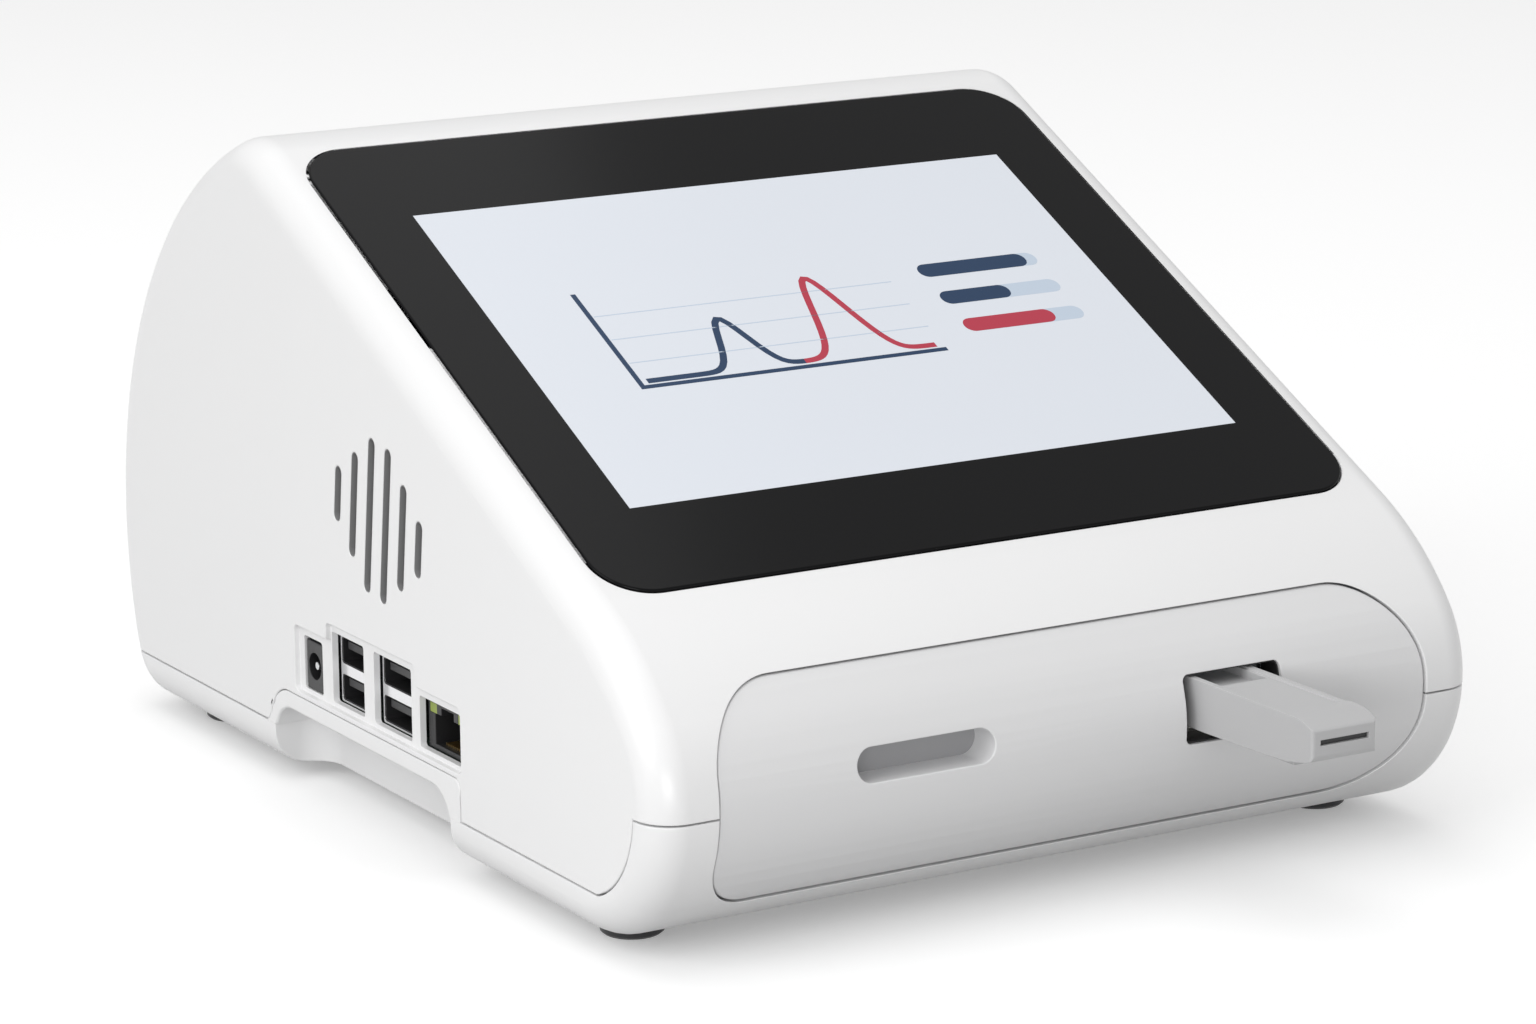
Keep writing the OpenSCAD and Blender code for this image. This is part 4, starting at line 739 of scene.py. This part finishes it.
def make_screen_picture():
    """A plain measuring curve on two axes with three value bars beside it."""
    def show(piece, look):
        add(piece, "screen", finish_name=look)

    base = GLASS_START + LCD_LOW + LCD_L / 2 - 16
    left, right = PLOT_X
    show(ribbon("plot_axes", [(left, base + PLOT_H), (left, base), (right, base)], 1.3), "mark_navy")
    for i in range(1, 4):
        rule = (base + 9 * i - 0.15, base + 9 * i + 0.15)
        show(tile(f"plot_rule_{i}", (left + 1, right), rule, 0), "mark_pale")
    show(ribbon("first_peak", curve(left + 2, CURVE_TURN, base), 1.7), "mark_navy")
    show(ribbon("second_peak", curve(CURVE_TURN, right - 2, base), 1.7), "mark_crimson")
    for i, (length, look) in enumerate(((30, "mark_navy"), (19, "mark_navy"), (25, "mark_crimson"))):
        v = (base + 27 - BAR_PITCH * i, base + 27 - BAR_PITCH * i + BAR_H)
        show(tile(f"bar_track_{i + 1}", BAR_X, v, BAR_R), "mark_pale")
        bar = slope_slab(f"value_bar_{i + 1}", (BAR_X[0], BAR_X[0] + length), v,
                         (SCREEN_TOP, SCREEN_TOP + 0.06), BAR_R, 8)
        soften(bar, 0)
        show(bar, look)


def refined(node, name, width):
    """A copy of a node with its edges softened."""
    only(nodes[node])
    bpy.ops.object.duplicate()
    piece = bpy.context.object
    piece.name = name
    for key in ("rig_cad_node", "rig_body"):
        if key in piece:
            del piece[key]
    piece.parent = None
    open_mesh(piece)
    bpy.ops.mesh.select_all(action="SELECT")
    bpy.ops.mesh.remove_doubles(threshold=0.002 * MM)
    close_mesh()
    soften(piece, width, merge=0.005)
    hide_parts(node)
    return piece


def make_recess_moulding():
    """The moulding over the cable recess, rounded at its mouth and along its outer rim."""
    arch = refined("recess_arch", "recess_moulding", 0)
    ease(arch, lambda co: co.x / MM < -HALF_W + 1 and SPLIT_Z + 0.3 < co.z / MM < RECESS_TOP + 0.5
         and RECESS_Y[0] - 0.5 < (co.y - NOSE_Y) / MM < RECESS_Y[1] + 0.5, ARCH_MOUTH_ROUND, 3)
    ease(arch, lambda co: co.x / MM < -HALF_W + 0.1 and co.z / MM > RECESS_TOP + 1, ARCH_RIM_ROUND)
    return arch


# Finishes

FINISHES = {}


def finish(name, colour, roughness, specular=0.5, metallic=0.0, coat=0.0, coat_roughness=0.1,
           grain=2600.0, bump=0.04, patch=0.03, patch_scale=18.0, glow=None, glow_strength=0.0):
    """Surface with a fine grain in its relief, a slow change of tone and a slight change of gloss."""
    material = bpy.data.materials.new(name)
    material.use_nodes = True
    tree = material.node_tree
    shader = tree.nodes["Principled BSDF"]
    shader.inputs["Specular IOR Level"].default_value = specular
    shader.inputs["Metallic"].default_value = metallic
    shader.inputs["Coat Weight"].default_value = coat
    shader.inputs["Coat Roughness"].default_value = coat_roughness
    place = tree.nodes.new("ShaderNodeTexCoord")
    cloud = tree.nodes.new("ShaderNodeTexNoise")
    cloud.inputs["Scale"].default_value = patch_scale
    cloud.inputs["Detail"].default_value = 3.0
    tree.links.new(place.outputs["Object"], cloud.inputs["Vector"])
    tone = tree.nodes.new("ShaderNodeMix")
    tone.data_type = "RGBA"
    tone.inputs["A"].default_value = [c * (1 - patch) for c in colour] + [1]
    tone.inputs["B"].default_value = [min(1.0, c * (1 + patch)) for c in colour] + [1]
    tree.links.new(cloud.outputs["Fac"], tone.inputs["Factor"])
    tree.links.new(tone.outputs["Result"], shader.inputs["Base Color"])
    fine = tree.nodes.new("ShaderNodeTexNoise")
    fine.inputs["Scale"].default_value = grain
    fine.inputs["Detail"].default_value = 4.0
    tree.links.new(place.outputs["Object"], fine.inputs["Vector"])
    gloss = tree.nodes.new("ShaderNodeMapRange")
    gloss.inputs["To Min"].default_value = max(0.02, roughness - 0.05)
    gloss.inputs["To Max"].default_value = roughness + 0.05
    tree.links.new(fine.outputs["Fac"], gloss.inputs["Value"])
    tree.links.new(gloss.outputs["Result"], shader.inputs["Roughness"])
    relief = tree.nodes.new("ShaderNodeBump")
    relief.inputs["Strength"].default_value = bump
    relief.inputs["Distance"].default_value = 0.0001
    tree.links.new(fine.outputs["Fac"], relief.inputs["Height"])
    tree.links.new(relief.outputs["Normal"], shader.inputs["Normal"])
    if glow:
        shader.inputs["Emission Color"].default_value = glow + [1]
        shader.inputs["Emission Strength"].default_value = glow_strength
    FINISHES[name] = material


def dress(piece, material):
    piece.data.materials.clear()
    piece.data.materials.append(material)


finish("housing_white", [0.87, 0.87, 0.872], 0.30, patch=0.006)
finish("panel_grey", [0.78, 0.78, 0.785], 0.42, patch=0.012, bump=0.08)
finish("tray_grey", [0.50, 0.50, 0.505], 0.40, patch=0.02, bump=0.08)
finish("cover_glass", [0.012, 0.012, 0.013], 0.08, coat=0.6)
finish("border_black", [0.005, 0.005, 0.0055], 0.14, specular=0.10, bump=0.0, patch=0.05)
finish("gasket_rubber", [0.03, 0.03, 0.03], 0.7)
finish("screen", [0.40, 0.42, 0.46], 0.22, specular=0.4, bump=0.0, patch=0.02,
       glow=[0.86, 0.90, 0.955], glow_strength=0.38)
# Painted shade for the side walls of the sound slots
finish("vent_painted_shade", [0.30, 0.30, 0.303], 0.5)
finish("mark_navy", [0.006, 0.036, 0.10], 0.25, specular=0.3, bump=0.0, patch=0.02)
finish("mark_crimson", [0.48, 0.032, 0.065], 0.25, specular=0.3, bump=0.0, patch=0.02)
finish("mark_pale", [0.40, 0.47, 0.56], 0.25, specular=0.3, bump=0.0, patch=0.02,
       glow=[0.70, 0.78, 0.88], glow_strength=0.20)
finish("sheet_steel", [0.60, 0.61, 0.62], 0.35, metallic=1.0)
finish("screw_steel", [0.62, 0.63, 0.64], 0.28, metallic=1.0)
finish("gear_plastic", [0.80, 0.79, 0.73], 0.45)
finish("motor_grey", [0.12, 0.12, 0.13], 0.4, metallic=0.6)
finish("black_plastic", [0.016, 0.016, 0.017], 0.42, bump=0.1)
finish("rocker_black", [0.02, 0.02, 0.021], 0.3)
finish("chassis_grey", [0.20, 0.20, 0.21], 0.5)
finish("lens_glass", [0.70, 0.80, 0.85], 0.05, coat=0.5)
finish("board_green", [0.012, 0.030, 0.020], 0.4, patch=0.1, patch_scale=300)
finish("socket_grey", [0.36, 0.36, 0.37], 0.5)
finish("standoff_brass", [0.75, 0.55, 0.25], 0.3, metallic=1.0)
finish("sink_aluminium", [0.6, 0.62, 0.64], 0.35, metallic=1.0)
finish("shell_chrome", [0.74, 0.74, 0.75], 0.2, metallic=1.0, bump=0.02)
finish("light_green", [0.30, 0.38, 0.06], 0.3)
finish("speaker_paper", [0.02, 0.02, 0.022], 0.8, bump=0.3)
finish("foot_rubber", [0.030, 0.030, 0.032], 0.38, bump=0.12)
for row in frame["record"]["subparts"]:
    dress(nodes[row["node"]], FINISHES[row["material_slot"]])


def add(piece, slot_name, body="case", replaced=(), finish_name=None):
    """Gives a piece its finish and its body, and hides the nodes that it stands in for."""
    dress(piece, FINISHES[finish_name or slot_name])
    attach(piece, body)
    if replaced:
        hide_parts(*replaced)
    return piece


# Camera, floor and light
PHOTO_W = 1536
FOCAL_PX = 4958.23
CAMERA_AT = (-579.84, -847.59, 331.0)
CAMERA_RIGHT = Vector((0.8600, -0.5103, -0.0078))
CAMERA_UP = Vector((0.1239, 0.1939, 0.9732))


def make_camera():
    """The camera of the photo, found by a fit to the body's outline."""
    data = bpy.data.cameras.new("camera")
    data.sensor_width = 36
    data.lens = FOCAL_PX / PHOTO_W * 36
    data.clip_start = 0.05
    camera = bpy.data.objects.new("camera", data)
    bpy.context.scene.collection.objects.link(camera)
    right = CAMERA_RIGHT.normalized()
    back = right.cross(CAMERA_UP).normalized()
    up = back.cross(right)
    turn = Matrix((right, up, back)).transposed().to_4x4()
    camera.matrix_world = Matrix.Translation(at(*CAMERA_AT)) @ turn
    bpy.context.scene.camera = camera


FLOOR_SIZE = 9.0
FLOOR_GLOW = 0.25
FLOOR_SEEN = 0.87
FLOOR_BOUNCE = 0.42
WORLD_LIGHT = 0.62
WORLD_SEEN = 1.0


def seen_by(tree, *kinds):
    """One for rays of these kinds and zero for all others."""
    ray = tree.nodes.new("ShaderNodeLightPath")
    seen = ray.outputs[kinds[0]]
    for kind in kinds[1:]:
        larger = tree.nodes.new("ShaderNodeMath")
        larger.operation = "MAXIMUM"
        tree.links.new(seen, larger.inputs[0])
        tree.links.new(ray.outputs[kind], larger.inputs[1])
        seen = larger.outputs[0]
    return seen


def make_floor():
    """A pale floor that looks lighter in the picture than the light it throws back."""
    only()
    bpy.ops.mesh.primitive_plane_add(size=FLOOR_SIZE, location=(0, 0, 0))
    floor = bpy.context.object
    floor.name = "floor"
    material = bpy.data.materials.new("floor_white")
    material.use_nodes = True
    tree = material.node_tree
    tree.nodes.remove(tree.nodes["Principled BSDF"])
    out = tree.nodes["Material Output"]
    seen = seen_by(tree, "Is Camera Ray", "Is Glossy Ray", "Is Transmission Ray")
    strength = tree.nodes.new("ShaderNodeMath")
    strength.operation = "MULTIPLY"
    strength.inputs[1].default_value = FLOOR_GLOW
    tree.links.new(seen, strength.inputs[0])
    glow = tree.nodes.new("ShaderNodeEmission")
    tree.links.new(strength.outputs[0], glow.inputs["Strength"])
    paint = tree.nodes.new("ShaderNodeBsdfDiffuse")
    tone = tree.nodes.new("ShaderNodeMix")
    tone.data_type = "RGBA"
    tone.inputs["A"].default_value = (FLOOR_BOUNCE, FLOOR_BOUNCE, FLOOR_BOUNCE, 1)
    tone.inputs["B"].default_value = (FLOOR_SEEN, FLOOR_SEEN, FLOOR_SEEN, 1)
    tree.links.new(seen, tone.inputs["Factor"])
    tree.links.new(tone.outputs["Result"], paint.inputs["Color"])
    both = tree.nodes.new("ShaderNodeAddShader")
    tree.links.new(glow.outputs[0], both.inputs[0])
    tree.links.new(paint.outputs[0], both.inputs[1])
    tree.links.new(both.outputs[0], out.inputs["Surface"])
    dress(floor, material)


def make_world():
    world = bpy.data.worlds.new("studio")
    bpy.context.scene.world = world
    world.use_nodes = True
    tree = world.node_tree
    back = tree.nodes["Background"]
    back.inputs["Color"].default_value = (1, 1, 1, 1)
    strength = tree.nodes.new("ShaderNodeMapRange")
    strength.inputs["To Min"].default_value = WORLD_LIGHT
    strength.inputs["To Max"].default_value = WORLD_SEEN
    tree.links.new(seen_by(tree, "Is Camera Ray", "Is Transmission Ray"), strength.inputs["Value"])
    tree.links.new(strength.outputs["Result"], back.inputs["Strength"])


def make_lamp(name, place, target, size, power):
    """A softbox that faces its target."""
    data = bpy.data.lights.new(name, "AREA")
    data.shape = "RECTANGLE"
    data.size = size[0]
    data.size_y = size[1]
    data.energy = power
    lamp = bpy.data.objects.new(name, data)
    bpy.context.scene.collection.objects.link(lamp)
    lamp.location = place
    lamp.rotation_euler = (Vector(target) - Vector(place)).to_track_quat("-Z", "Y").to_euler()


make_camera()
make_floor()
make_world()
make_lamp("left_softbox", (-1.5, -0.3, 0.85), (0, 0, 0.06), (1.3, 1.3), 10.6)
make_lamp("top_softbox", (0.0, 0.2, 1.6), (0, 0, 0.05), (1.6, 1.6), 6.2)
make_lamp("front_softbox", (-0.42, -0.66, 0.12), (-0.02, -0.12, 0.04), (0.3, 0.14), 1.05)

add(make_upper_shell(), "housing_white", replaced=("upper_housing",))
add(make_lower_shell(), "housing_white", replaced=("lower_housing",))
add(make_front_face(), "panel_grey", replaced=("front_panel",))
add(make_glass(), "border_black", replaced=("cover_glass", "border_print"))
add(make_screen(), "screen")
make_screen_picture()
for node, name, width, slot_name, body in (
        ("card_tray", "tray_arm", 0.18, "tray_grey", "tray"),
        ("usb_shell_rear", "usb_rear_can", 0.12, "shell_chrome", "case"),
        ("usb_shell_front", "usb_front_can", 0.12, "shell_chrome", "case"),
        ("usb_insert_rear", "usb_rear_tongues", 0.15, "black_plastic", "case"),
        ("usb_insert_front", "usb_front_tongues", 0.15, "black_plastic", "case"),
        ("network_jack", "network_socket", 0.2, "black_plastic", "case"),
        ("power_switch", "switch_bezel", 0.3, "black_plastic", "case"),
        ("power_rocker", "switch_rocker", 0.4, "rocker_black", "rocker")):
    add(refined(node, name, width), slot_name, body)
add(bring_forward(refined("dc_jack", "power_jack", 0.25), -101, 1.6), "black_plastic")
add(bring_forward(refined("dc_pin", "power_pin", 0.3), -100, 1.9), "screw_steel")
add(make_recess_moulding(), "housing_white")
# The dark linings below paint shade into the tray's slit, the sound slots, the tray window and the socket
# mouths.
add(make_slit_shade(), "black_plastic", "tray")
add(make_vent_shade_liner(), "black_plastic", finish_name="vent_painted_shade")
add(make_window_shade(), "black_plastic")
add(make_usb_shade_liner("usb_rear_shade", USB_REAR), "black_plastic")
add(make_usb_shade_liner("usb_front_shade", USB_FRONT), "black_plastic")
